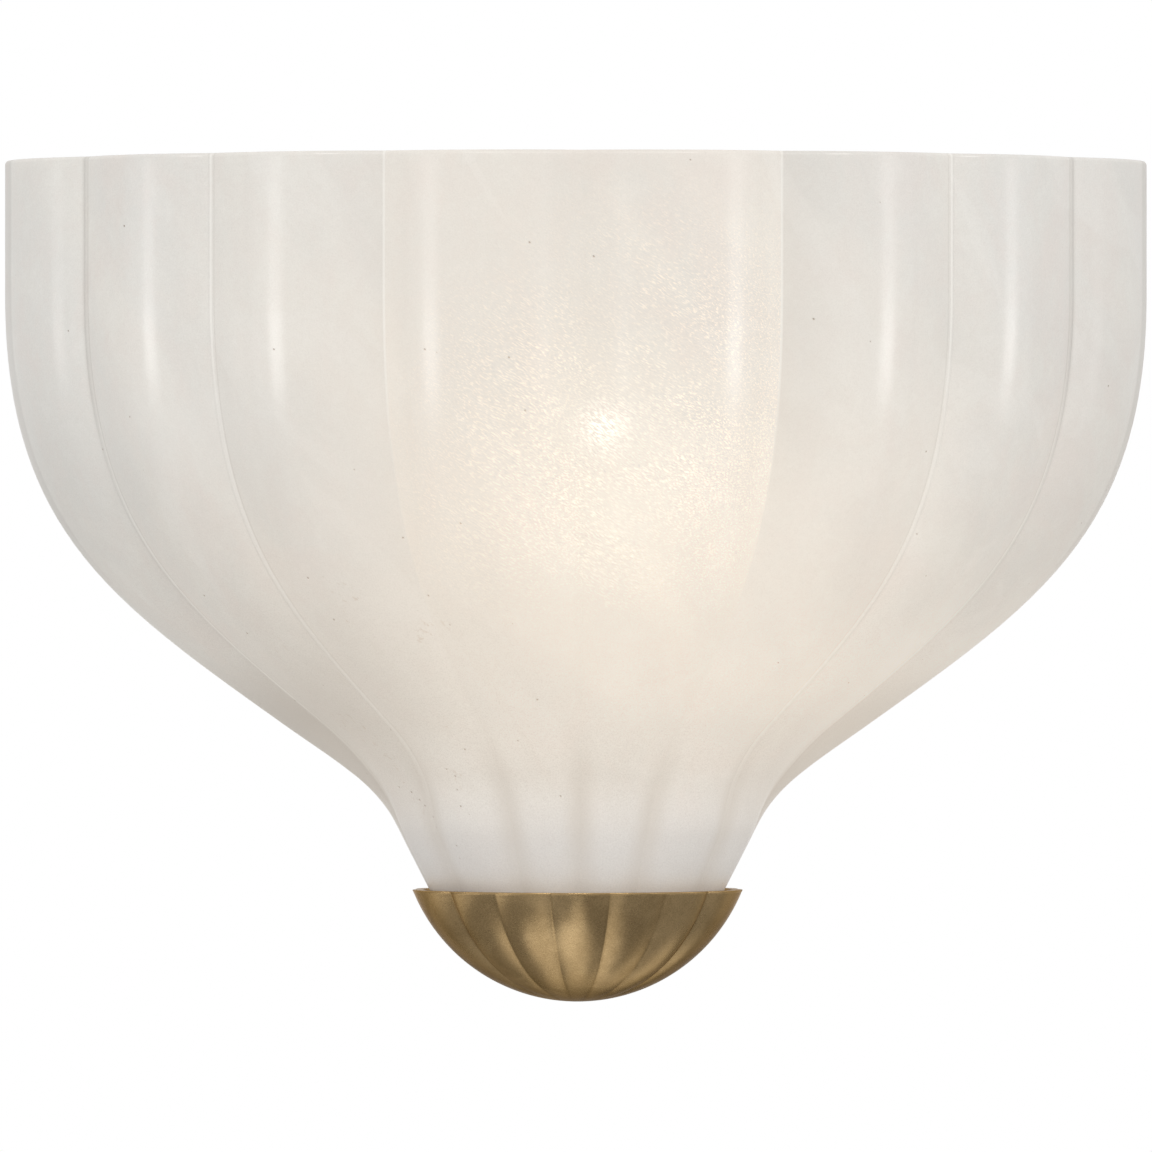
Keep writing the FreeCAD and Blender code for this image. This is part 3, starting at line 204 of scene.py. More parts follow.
def shadeRings(h):
    # for each height the outside and the inside in plan, both from left to right
    a, b, middle, sweep, seams, rise = planAt(h)
    starts, ends = seams[:, :-1], seams[:, 1:]
    crowns = (starts + ends) / 2.0
    t = np.sin(np.linspace(-1.0, 1.0, shade["perLobe"] + 1) * quarter)
    first, crown, last = [onEllipse(a, b, middle, angle, out)
                          for angle, out in ((starts, 0.0), (crowns, rise), (ends, 0.0))]
    lobes = arcThrough(first, crown, last, t)
    # the seams' bottoms are eased by a small round, but not the two back edges
    chord = lengthOf(last - first)[..., None] / 2.0
    soft = shade["neckRound"] + (shade["seamRound"] - shade["neckRound"]) * smoothStep(
        (h - shade["softLow"]) / (shade["softHigh"] - shade["softLow"]))
    soft = soft[:, None, None]
    near = np.exp(-(1.0 - np.abs(t)) * chord / soft)
    lift = 2.0 * rise[..., None] / chord * soft * near * shade["softLift"]
    half = len(t) // 2
    lift[:, 0, :half] = 0.0
    lift[:, -1, half:] = 0.0
    outwards = unit(crown - onEllipse(a, b, middle, crowns))
    lobes = lobes + outwards[:, :, None, :] * lift[..., None]
    place = np.arange(shade["lobes"])[:, None] - shade["lobes"] / 2 + (t + 1.0) / 2.0
    outer = np.concatenate([lobes[:, :, :-1].reshape(len(h), -1, 2), lobes[:, -1, -1:]], 1)
    # inside: the same plan, thinner by the wall
    within = starts[..., None] + (ends - starts)[..., None] * (t + 1.0) / 2.0
    share = np.concatenate([within[:, :, :-1].reshape(len(h), -1), ends[:, -1:]], 1) / sweep
    innerA, innerB = a - shade["wall"], b - shade["wall"]
    inside = onEllipse(innerA, innerB, middle, share * np.arccos((shade["wallGap"] - middle) / innerB))
    return outer, np.append(place[:, :-1], shade["lobes"] / 2), inside


def roundEnds(line, place, radius, inwards):
    # trims both ends of an open line and turns them on to the wall plane with a round
    count = shade["roundSteps"]
    t = np.linspace(0.0, 1.0, count)[None, :, None]

    def rounded(points, side):
        corner = points[:, 0]
        away = points - corner[:, None]
        first = int(np.argmax(lengthOf(away).mean(0) > radius))
        wall = (corner + np.array([side * inwards * radius, 0.0]))[:, None]
        start = (corner + unit(away[:, first]) * radius)[:, None]
        curve = (1 - t) ** 2 * wall + 2 * t * (1 - t) * corner[:, None] + t ** 2 * start
        return np.concatenate([curve, points[:, first:]], 1), first

    half = line.shape[1] // 2
    left, leftCut = rounded(line[:, :half], 1.0)
    right, rightCut = rounded(line[:, :half - 1:-1], -1.0)
    kept = place[leftCut:len(place) - rightCut]
    places = np.pad(kept, count, constant_values=(place[0], place[-1]))
    return np.concatenate([left, right[:, ::-1]], 1), places


def evened(line, values, count):
    # gets a line down to a number of points by leaving some of the flat middles of the lobes
    size = line.shape[1]
    keep = np.ones(size, bool)
    if size > count:
        keep[np.linspace(size * 0.25, size * 0.75, size - count).astype(int)] = False
    return line[:, keep], values[keep]


def rimRings(line, radius, turns):
    # rings that draw a closed line in along a round
    along = np.roll(line, -1, 0) - np.roll(line, 1, 0)
    inwards = -unit(np.stack([along[:, 1], -along[:, 0]], -1))
    return line + inwards * (radius * (1.0 - np.cos(turns)))[:, None, None]


def makeShade():
    low, high, split = -shade["inCup"], shade["height"], shade["rowSplit"]
    h = np.concatenate([np.linspace(low, split, shade["rows"] * 2 // 3, endpoint=False),
                        np.linspace(split, high, shade["rows"] // 3)])
    outer, place, inside = shadeRings(h)
    outer, outerPlace = roundEnds(outer, place, shade["backRound"], 1.0)
    inside, insidePlace = roundEnds(inside, place, shade["innerRound"], -1.0)
    count = min(outer.shape[1], inside.shape[1])
    outer, outerPlace = evened(outer, outerPlace, count)
    inside, insidePlace = evened(inside, insidePlace, count)
    ring = np.concatenate([outer, inside[:, ::-1]], 1)
    # rounded rims at the bottom and the top
    turns = np.linspace(0.0, quarter, shade["roundSteps"])[1:]
    top, bottom = shade["rimRound"], shade["lowRound"]
    h[0], h[-1] = low + bottom, high - top
    plan = np.concatenate([rimRings(ring[0], bottom, turns[::-1]), ring, rimRings(ring[-1], top, turns)])
    level = np.concatenate([low + bottom - bottom * np.sin(turns[::-1]), h, high - top + top * np.sin(turns)])
    rows, total = len(level), 2 * count
    points = lifted(plan, level + shade["rimLevel"])
    i = np.arange(count - 1)
    lowCap = np.stack([i, total - 1 - i, total - 2 - i, i + 1], -1)
    topCap = (rows - 1) * total + np.stack([i, i + 1, total - 2 - i, total - 1 - i], -1)
    piece = meshFrom("stoneShade", points, [gridFaces(rows, total, closeColumns=True), lowCap, topCap])
    lobe = np.broadcast_to(np.concatenate([outerPlace, insidePlace[::-1]]), (rows, total))
    outside = np.broadcast_to(np.repeat([1.0, 0.0], count), (rows, total))
    across = np.abs(points[..., 0])
    seamGap, polished = alongLobes(points, lobe, outside, level)
    addValues(piece, lobePlace=lobe, outside=outside, heightUp=np.broadcast_to(level[:, None], (rows, total)),
              seamGap=seamGap, edgeGap=across.max(1, keepdims=True) - across, polish=polished)
    return piece


def alongLobes(points, lobe, outside, level):
    # each point's way to the nearest seam in mm, and the normals of the polish
    a, b, middle, sweep, seams, rise = planAt(level)
    middleLobe = shade["lobes"] // 2
    k = np.clip(np.floor(lobe).astype(int) + middleLobe, 0, shade["lobes"] - 1)
    row = np.arange(len(level))[:, None]
    within = lobe + middleLobe - k
    ends = onEllipse(a, b, middle, seams)
    seamGap = np.minimum(within, 1.0 - within) * lengthOf(ends[:, 1:] - ends[:, :-1])[row, k]
    normal = unit(np.cross(np.roll(points, -1, 1) - np.roll(points, 1, 1), np.gradient(points, axis=0)))
    # the polish turns faster across each lobe than the stone does
    angle = (seams[row, k] + seams[row, k + 1]) / 2.0
    isLeft = k < middleLobe
    share = np.where(isLeft, within, 1.0 - within)
    evenAt = polish["evenAt"] + polish["evenStep"] * np.where(isLeft, middleLobe - 1 - k, k - middleLobe)
    turned = np.arctan2(np.sin(angle) / a, np.cos(angle) / b)
    turned = turned + np.where(isLeft, 1.0, -1.0) * np.radians(polish["perShare"]) * (share - evenAt)
    turned = np.clip(turned, -polish["mostTurn"], polish["mostTurn"])
    flat = np.sqrt(np.maximum(1.0 - normal[..., 2] ** 2, 0.0))
    wanted = np.stack([np.sin(turned) * flat, -np.cos(turned) * flat, normal[..., 2]], -1)
    rising = smoothStep((level[:, None] - polish["low"]) / (polish["high"] - polish["low"]))
    use = (outside * rising)[..., None]
    return seamGap, unit(normal * (1.0 - use) + wanted * use)


stoneShade = makeShade()
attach(stoneShade, "wall_body")
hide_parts("alabaster_shade")
print("stone shade:", len(stoneShade.data.polygons), "faces")


# Brass cup

cup = {
    "rimRadius": 48.6, "sphereRadius": 52.3, "axisDepth": 22.0, "wall": 3.0, "gadroons": 17, "rise": 1.5,
    "bossRadius": 6.0, "bossRound": 0.4, "bossBelow": 4.0, "rimLevel": -118.0, "wallGap": 1.5,
    "wideFrom": 3.0, "wideTo": 4.0, "valleyRound": 0.12, "rimRound": 0.2, "farFromValley": 20.0,
    "perGadroon": 22, "rows": 60, "innerRows": 26, "rimSteps": 5, "belowInnerRim": 0.985,
    "mergeWithin": 0.02, "cutWithin": 0.001,
}


def makeCup():
    # a round profile carried about the cup's axis: gadroons outside, a smaller sphere and a boss inside
    big, count = cup["sphereRadius"], cup["perGadroon"]
    small = big - cup["wall"]
    centre = math.sqrt(big ** 2 - cup["rimRadius"] ** 2)
    pitch = 4.0 * quarter / cup["gadroons"]
    t = np.sin(np.linspace(-1.0, 1.0, count + 1)[:-1] * quarter)
    step = np.arange(cup["gadroons"])
    around = ((step[:, None] + t[None, :] / 2.0) * pitch).ravel()
    ringOut = np.stack([np.sin(around), -np.cos(around)], -1)
    columns = len(around)
    # outside, from the pole to just under the rim
    angles = np.linspace(0.0, math.asin(cup["rimRadius"] / big), cup["rows"])
    radius = big * np.sin(angles)
    height = centre - big * np.cos(angles)
    rise = cup["rise"] * np.clip(radius / cup["rimRadius"], 0.0, 1.0)
    # each gadroon in plan is a circle's arc from valley to valley over its crown
    chordX = (radius - rise) * math.sin(pitch / 2.0)
    crownUp = radius - (radius - rise) * math.cos(pitch / 2.0)
    arcRadius = ((chordX ** 2 + crownUp ** 2) / np.maximum(2.0 * crownUp, 1e-9))[:, None]
    x = t[None, :] * chordX[:, None]
    up = radius[:, None] - arcRadius + np.sqrt(np.maximum(arcRadius ** 2 - x ** 2, 0.0))
    gap = (1.0 - np.abs(t))[None, :] * chordX[:, None]
    up = up + 0.5 * cup["valleyRound"] * np.exp(-gap / cup["valleyRound"]) * np.minimum(rise, 1.0)[:, None]
    turn = step[:, None, None] * pitch
    plan = np.stack([x * np.cos(turn) + up * np.sin(turn), x * np.sin(turn) - up * np.cos(turn)], -1)
    plan = np.moveaxis(plan, 0, 1).reshape(len(radius), columns, 2)
    # the last gadroon at each end is twice as wide: no valley between its two crowns
    steps = np.minimum(around, 4.0 * quarter - around) / pitch
    plain = (steps >= cup["wideFrom"]) & (steps <= cup["wideTo"])
    plan[:, plain] = radius[:, None, None] * ringOut[plain]
    # the rim: a small round, a flat ring, a small round, then the inner sphere down to the boss
    r = cup["rimRound"]
    s = np.linspace(0.0, quarter, cup["rimSteps"])[:, None, None]
    outerRim = plan[-1] * (1.0 - r * (1.0 - np.cos(s)) / lengthOf(plan[-1])[:, None])
    innerTop = math.sqrt(small ** 2 - centre ** 2)
    innerRim = ringOut * (innerTop + r * (1.0 - np.sin(s)))
    downFrom = math.asin(innerTop / small) * cup["belowInnerRim"]
    down = np.linspace(downFrom, math.asin(cup["bossRadius"] / small), cup["innerRows"])
    inside = ringOut[None] * (small * np.sin(down))[:, None, None]
    boss = ringOut * np.array([cup["bossRadius"], cup["bossRadius"] - cup["bossRound"], 0.01])[:, None, None]
    bossTop = -shade["inCup"] - cup["bossBelow"]
    s = s.ravel()
    bossLevels = [bossTop - cup["bossRound"], bossTop, bossTop]
    levels = np.concatenate([height[:-1], -r + r * np.sin(s), -r * (1.0 - np.cos(s)),
                             centre - small * np.cos(down), bossLevels])
    points = lifted(np.concatenate([plan[:-1], outerRim, innerRim, inside, boss]), levels)
    points = points + np.array([0.0, -cup["axisDepth"], cup["rimLevel"]])
    piece = meshFrom("gadroonCup", points, [gridFaces(len(levels), columns, closeColumns=True)])
    # each point's way to the nearest valley in mm: outside only, the rest counts as far away
    outerRows = len(radius) - 1
    valleyGap = np.full((len(levels), columns), cup["farFromValley"])
    valleyGap[:outerRows] = np.tile(np.minimum(gap[:-1], cup["farFromValley"]), (1, cup["gadroons"]))
    valleyGap[outerRows:outerRows + len(s)] = valleyGap[outerRows - 1]
    valleyGap[:, plain] = cup["farFromValley"]
    addValues(piece, valleyGap=valleyGap)
    closeAndTrim(piece)
    return piece


def closeAndTrim(piece):
    # merges the poles, cuts the piece off before the wall and closes the cut
    wallY, merge, cutWithin = [cup[key] / 1000.0 for key in ("wallGap", "mergeWithin", "cutWithin")]
    work = bmesh.new()
    work.from_mesh(piece.data)
    bmesh.ops.remove_doubles(work, verts=work.verts, dist=merge)
    geometry = list(work.verts) + list(work.edges) + list(work.faces)
    cut = bmesh.ops.bisect_plane(work, geom=geometry, dist=cutWithin, plane_co=(0.0, -wallY, 0.0),
                                 plane_no=(0.0, 1.0, 0.0), clear_outer=True)
    rim = [e for e in cut["geom_cut"] if isinstance(e, bmesh.types.BMEdge)]
    filled = bmesh.ops.triangle_fill(work, use_beauty=True, edges=rim, normal=(0.0, 1.0, 0.0))
    for face in filled["geom"]:
        if isinstance(face, bmesh.types.BMFace):
            face.smooth = False
    bmesh.ops.recalc_face_normals(work, faces=work.faces)
    work.to_mesh(piece.data)
    work.free()


gadroonCup = makeCup()
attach(gadroonCup, "wall_body")
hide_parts("brass_cup")
print("gadroon cup:", len(gadroonCup.data.polygons), "faces")


# Rolled and cut threads

lamp = {
    "y": -56.744, "bottom": -68.0, "floor": 6.0, "tip": -58.0,
    "baseRadius": 13.1, "baseLow": 2.7, "baseHeight": 24.0, "baseSkin": 0.6,
    "threadPitch": 3.63, "threadRise": 0.45, "threadStart": 0.2, "innerShare": 0.9,
    "shellInner": 13.6, "shellOuter": 14.55, "shellHeight": 25.0, "shellFloor": 0.8, "shellHole": 8.0,
    "tubeSides": 96, "tubeRows": 20, "rodSides": 48, "rodRows": 10, "fewestRows": 12,
}
rods = {"nipplePitch": 0.94, "nippleDepth": 0.42, "nippleBore": 3.0, "studPitch": 0.7, "studDepth": 0.32}


def turnsOf(sides):
    return np.linspace(0.0, 4.0 * quarter, sides + 1)[:-1]


def rolledTube(name, inner, outer, low, height, phase, capFloor=None):
    # a thin tube whose skin follows a round thread on both faces, in a closed ring of rows
    pitch, rise, high = lamp["threadPitch"], lamp["threadRise"], low + height
    turns = turnsOf(lamp["tubeSides"])
    level = np.linspace(low, high, int((high - low) / pitch * lamp["tubeRows"]))
    ease = smoothStep((level - low) / pitch) * smoothStep((high - level) / pitch)
    share = level[:, None] / pitch - turns / (4.0 * quarter) + phase
    wave = (0.5 + 0.5 * np.cos(4.0 * quarter * share)) * ease[:, None]
    outside = outer - rise + rise * wave
    inside = (inner + rise * wave * lamp["innerShare"])[::-1]
    radii, levels = [outside, inside], [level, level[::-1]]
    if capFloor:
        hole, thick = capFloor
        above = levels[1] > low + thick
        radii = [outside, inside[above], np.full((3, len(turns)), hole)]
        radii[2][0] = inner
        levels = [level, levels[1][above], [low + thick, low + thick, low]]
    radii, levels = np.concatenate(radii), np.concatenate(levels)
    plan = np.stack([radii * np.sin(turns), -radii * np.cos(turns)], -1)
    points = lifted(plan, levels) + np.array([0.0, lamp["y"], 0.0])
    return meshFrom(name, points, [gridFaces(len(levels), len(turns), closeRows=True, closeColumns=True)])


baseLow = lamp["tip"] + lamp["baseLow"]
bulbBase = rolledTube("bulbBase", lamp["baseRadius"] - lamp["threadRise"] - lamp["baseSkin"],
    lamp["baseRadius"], baseLow, lamp["baseHeight"], lamp["threadStart"])
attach(bulbBase, "bulb")
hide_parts("bulb_screw_base")
shellLow = lamp["bottom"] + lamp["floor"]
holderShell = rolledTube("holderShell", lamp["shellInner"], lamp["shellOuter"], shellLow, lamp["shellHeight"],
                         (baseLow - shellLow) / lamp["threadPitch"] + lamp["threadStart"],
                         capFloor=(lamp["shellHole"], lamp["shellFloor"]))
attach(holderShell, "wall_body")
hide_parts("screw_shell")


def threadedRod(start, axis, length, radius, pitch, depth, bore=0.0):
    # points and faces of a pointed thread along a straight line, with eased ends, and a bore if it has one
    turns = turnsOf(lamp["rodSides"])
    count = len(turns)
    level = np.linspace(0.0, length, max(lamp["fewestRows"], int(length / pitch * lamp["rodRows"])))
    ease = np.clip(level / pitch, 0.0, 1.0) * np.clip((length - level) / pitch, 0.0, 1.0)
    share = level[:, None] / pitch - turns / (4.0 * quarter)
    wave = 1.0 - np.abs(2.0 * (share - np.floor(share)) - 1.0)
    radii = np.pad(radius - depth + depth * wave * ease[:, None], ((1, 1), (0, 0)), constant_values=bore)
    level = np.concatenate([[0.0], level, [length]])
    side = unit(np.cross(axis, [0.0, 0.0, 1.0] if abs(axis[2]) < 0.9 else [0.0, 1.0, 0.0]))
    ring = np.cos(turns)[:, None] * side + np.sin(turns)[:, None] * np.cross(axis, side)
    line = np.array(start) + level[:, None, None] * np.array(axis)
    points = (line + radii[:, :, None] * ring).reshape(-1, 3)
    if bore:
        return points, [gridFaces(len(level), count, closeRows=True, closeColumns=True)]
    # a solid rod's ends are one point each, with a fan of triangles
    around = np.arange(count)
    nextOne = (around + 1) % count
    body = points[count:-count]
    middle = np.full(count, len(body))
    last = len(body) - count
    faces = [gridFaces(len(level) - 2, count, closeColumns=True), np.stack([middle, nextOne, around], -1),
             np.stack([middle + 1, last + around, last + nextOne], -1)]
    return np.concatenate([body, points[:1], points[-1:]]), faces


def nodeSpan(name):
    low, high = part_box(name)
    return np.array(low) * 1000.0, np.array(high) * 1000.0


low, high = nodeSpan("threaded_nipple")
nipple = threadedRod((0.0, lamp["y"], low[2]), (0, 0, 1), high[2] - low[2], (high[0] - low[0]) / 2.0,
                     rods["nipplePitch"], rods["nippleDepth"], rods["nippleBore"])
nippleThread = meshFrom("nippleThread", *nipple)
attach(nippleThread, "wall_body")
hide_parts("threaded_nipple")

low, high = nodeSpan("canopy_studs")
studRadius = (high[2] - low[2]) / 2.0
studX = high[0] - studRadius
studs = [threadedRod((side * studX, high[1], 0.0), (0, -1, 0), high[1] - low[1], studRadius,
                     rods["studPitch"], rods["studDepth"]) for side in (-1, 1)]
studThreads = meshFrom("studThreads", np.concatenate([points for points, faces in studs]),
                       studs[0][1] + [faces + len(studs[0][0]) for faces in studs[1][1]])
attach(studThreads, "wall_body")
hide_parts("canopy_studs")
print("threads made")


# Node helpers

def labelled(values):
    # values by their sockets' names, from names in camel case
    return {"".join(" " + c if c.isupper() else c for c in key).title(): value
            for key, value in values.items()}


class Graph:
    # a node tree with short ways to add to it; a value is a socket to link or a constant to set

    def __init__(self, tree):
        self.tree = tree

    def fill(self, sockets, values):
        for key, value in values.items():
            if isinstance(value, bpy.types.NodeSocket):
                self.tree.links.new(value, sockets[key])
            elif sockets[key].type == "RGBA":
                sockets[key].default_value = (*value, 1.0)
            else:
                sockets[key].default_value = value

    def put(self, kind, values=None, **settings):
        node = self.tree.nodes.new("ShaderNode" + kind)
        for key, value in settings.items():
            setattr(node, key, value)
        self.fill(node.inputs, values or {})
        return node

    def math(self, operation, *values, **settings):
        return self.put("Math", dict(enumerate(values)), operation=operation.upper(), **settings).outputs[0]

    def chain(self, operation, result, *values):
        for value in values:
            result = self.math(operation, result, value)
        return result

    def product(self, *values):
        return self.chain("multiply", *values)

    def total(self, *values):
        return self.chain("add", *values)

    def most(self, *values):
        return self.chain("maximum", *values)

    def vector(self, operation, values, output=0):
        return self.put("VectorMath", values, operation=operation.upper()).outputs[output]

    def layers(self, colour, *layers):
        # further colours laid over the first, each with its amount
        for amount, further in layers:
            node = self.put("Mix", data_type="RGBA")
            self.fill(node.inputs, {0: amount, 6: colour, 7: further})
            colour = node.outputs[2]
        return colour

    def range(self, value, low, high, outLow=0.0, outHigh=1.0, kind="SMOOTHSTEP"):
        values = {"Value": value, "From Min": low, "From Max": high, "To Min": outLow, "To Max": outHigh}
        return self.put("MapRange", values, interpolation_type=kind).outputs["Result"]

    def place(self):
        return self.put("TexCoord").outputs["Object"]

    def space(self, **values):
        # Object coordinates, stretched, moved or turned
        return self.put("Mapping", {"Vector": self.place(), **labelled(values)}).outputs[0]

    def slanted(self, angle, along, location=(0.0, 0.0, 0.0)):
        # Object coordinates drawn out along a slant: the angle is from +X down towards -Z, in degrees
        values = {"Vector": self.place(), "Location": location, "Scale": (along, 1.0, 1.0),
                  "Rotation": (0.0, math.radians(angle), 0.0)}
        return self.put("Mapping", values, vector_type="TEXTURE").outputs[0]

    def noise(self, vector, scale, detail=4.0, roughness=0.55, distortion=0.0):
        return self.put("TexNoise", {"Vector": vector, "Scale": scale, "Detail": detail,
                                     "Roughness": roughness, "Distortion": distortion}).outputs[0]

    def oval(self, x, z, wide, high):
        # 1 at the middle, falling to 0 at an oval, seen along Y
        vector = self.space(scale=(1.0 / wide, 0.0, 1.0 / high), location=(-x / wide, 0.0, -z / high))
        return self.put("TexGradient", {"Vector": vector}, gradient_type="QUADRATIC_SPHERE").outputs[1]

    def attribute(self, name, output="Fac"):
        return self.put("Attribute", attribute_name=name).outputs[output]

    def part(self, vector, axis):
        return self.put("SeparateXYZ", {0: vector}).outputs[axis]

    def bump(self, height, strength, distance):
        return self.put("Bump", {"Height": height, "Strength": strength, "Distance": distance}).outputs[0]

    def use(self, group, **values):
        node = self.put("Group", node_tree=group)
        self.fill(node.inputs, labelled(values))
        return node.outputs


def startMaterial(name):
    material = bpy.data.materials.new(name)
    material.use_nodes = True
    return material, Graph(material.node_tree), material.node_tree.nodes["Principled BSDF"].inputs


def startGroup(name, inputs, outputs):
    # a triple is a vector's socket, "Colour" a colour's, all others are numbers
    tree = bpy.data.node_groups.new(name, "ShaderNodeTree")
    for label, value in inputs.items():
        kind = "NodeSocketVector" if isinstance(value, tuple) else "NodeSocketFloat"
        tree.interface.new_socket(name=label, in_out="INPUT", socket_type=kind).default_value = value
    for label in outputs:
        kind = "NodeSocketColor" if label == "Colour" else "NodeSocketFloat"
        tree.interface.new_socket(name=label, in_out="OUTPUT", socket_type=kind)
    return Graph(tree), tree.nodes.new("NodeGroupInput").outputs, tree.nodes.new("NodeGroupOutput").inputs


def makeMetalGrain():
    # fine directional grain, cloudy patches and a few specks, for every metal
    values = {"Grain Scale": 900.0, "Stretch": (1.0, 1.0, 1.0), "Patch Scale": 60.0, "Speck Amount": 0.5}
    g, given, out = startGroup("metalGrain", values, ("Grain", "Patches", "Specks"))
    coords = g.place()
    stretched = g.vector("multiply", {0: coords, 1: given["Stretch"]})
    specks = g.range(g.noise(coords, 1400.0, 1.0, 0.5), 0.66, 0.74)
    g.fill(out, {"Grain": g.noise(stretched, given["Grain Scale"], 3.0, 0.6),
                 "Patches": g.noise(coords, given["Patch Scale"], 4.0, 0.6, 0.3),
                 "Specks": g.product(specks, given["Speck Amount"])})
    return g.tree


def makeSurfaceFilm():
    # handling marks and settled dust: a value for the roughness and a value for the colour
    g, given, out = startGroup("surfaceFilm", {"Film Scale": 40.0, "Dust Amount": 0.3}, ("Film", "Dust"))
    coords = g.place()
    lying = g.range(g.part(g.put("NewGeometry").outputs["Normal"], 2), 0.3, 1.0)
    fleck = g.range(g.noise(coords, 700.0, 4.0, 0.7), 0.35, 0.75)
    g.fill(out, {"Film": g.noise(coords, given["Film Scale"], 5.0, 0.65, 0.4),
                 "Dust": g.product(lying, fleck, given["Dust Amount"])})
    return g.tree


metalGrain = makeMetalGrain()
surfaceFilm = makeSurfaceFilm()


# Alabaster: places are metres from the origin along X and Z, heights mm above the cup's rim

# soil is the stone's darker grain and also the colour of painted shade
stone = {
    "pale": (0.80, 0.775, 0.725), "cool": (0.745, 0.728, 0.69), "pink": (0.77, 0.70, 0.655),
    "tan": (0.82, 0.755, 0.675), "ash": (0.50, 0.52, 0.56), "vein": (0.85, 0.83, 0.79),
    "pit": (0.26, 0.17, 0.10), "rust": (0.46, 0.33, 0.23), "seamLight": (0.95, 0.93, 0.88),
    "seamShade": (0.45, 0.42, 0.38), "soil": (0.50, 0.47, 0.435),
    "warm": (1.0, 0.70, 0.39), "core": (1.0, 0.82, 0.54),
    "lowWarm": (1.0, 0.82, 0.62), "heartWarm": (1.0, 0.95, 0.85),
    "roughness": 0.42, "bulk": 0.07, "coatRoughness": 0.25, "coatIor": 1.38, "specular": 0.2,
    "veinAmount": 0.24, "patchAmount": 0.35, "beadHalfWidth": 1.0,
    "glowX": 0.004, "broad": 0.14, "low": 0.248, "heart": 0.17, "sparkle": 0.40,
}


def makeStoneTone():
    # cloud banks, slanting veins, pinkish patches and pits of the stone itself
    values = {"Vein Amount": 0.35, "Patch Amount": 0.35}
    g, given, out = startGroup("stoneTone", values, ("Colour", "Clouds", "Pits"))
    clouds = g.noise(g.slanted(52.0, 1.9), 17.0, 6.0, 0.58, 0.5)
    patches = g.noise(g.slanted(75.0, 1.5, location=(0.31, 0.0, 0.12)), 24.0, 5.0, 0.6, 0.7)
    bloom = g.noise(g.slanted(80.0, 1.3, location=(0.0, 0.0, 0.4)), 120.0, 6.0, 0.7, 0.4)
    tongues = g.noise(g.slanted(56.0, 3.4, location=(0.05, 0.0, 0.2)), 26.0, 3.0, 0.5, 1.2)
    mottle = g.noise(g.space(), 640.0, 3.0, 0.7)
    # a fine grain of dark and light, stronger towards the neck
    height = g.attribute("heightUp")
    fine = g.noise(g.space(), 2300.0, 3.0, 0.65)
    strength = g.range(height, 40.0, 110.0, 0.34, 0.12)
    # pits: a few everywhere, clusters low on the left, with rust smears round them
    cells = g.put("TexVoronoi", {"Vector": g.slanted(40.0, 1.4), "Scale": 420.0}).outputs
    chance = g.put("SeparateColor", {0: cells["Color"]}).outputs[0]
    cluster = g.range(g.noise(g.slanted(48.0, 2.2), 75.0, 3.0, 0.6), 0.52, 0.64)
    dense = g.product(cluster, g.math("power", g.oval(-0.060, -0.066, 0.052, 0.070), 0.6))
    limit = g.math("subtract", 0.986, g.total(dense, g.range(height, 30.0, 70.0, 0.03, 0.0)))
    pits = g.product(g.range(cells["Distance"], 0.04, 0.15, 1.0, 0.0), g.math("greater_than", chance, limit))
    smear = g.range(g.noise(g.slanted(38.0, 1.7), 620.0, 4.0, 0.7), 0.56, 0.66)
    colour = g.layers(
        stone["cool"], (g.range(clouds, 0.36, 0.62), stone["pale"]),
        (g.product(g.range(patches, 0.50, 0.64), given["Patch Amount"]), stone["pink"]),
        (g.range(bloom, 0.44, 0.60, 0.0, 0.20), stone["pink"]),
        (g.range(bloom, 0.36, 0.46, 0.14, 0.0), stone["vein"]),
        (g.product(g.range(tongues, 0.55, 0.60), given["Vein Amount"]), stone["vein"]),
        (g.range(mottle, 0.3, 0.7, 0.07, 0.0), stone["soil"]),
        (g.product(g.range(fine, 0.50, 0.68), strength), stone["soil"]),
        (g.product(g.range(fine, 0.32, 0.50, 1.0, 0.0), strength), stone["seamLight"]),
        (g.product(smear, g.range(dense, 0.22, 0.50), 0.40), stone["rust"]),
        (g.product(pits, 0.8), stone["pit"]))
    g.fill(out, {"Colour": colour, "Clouds": clouds, "Pits": pits})
    return g.tree


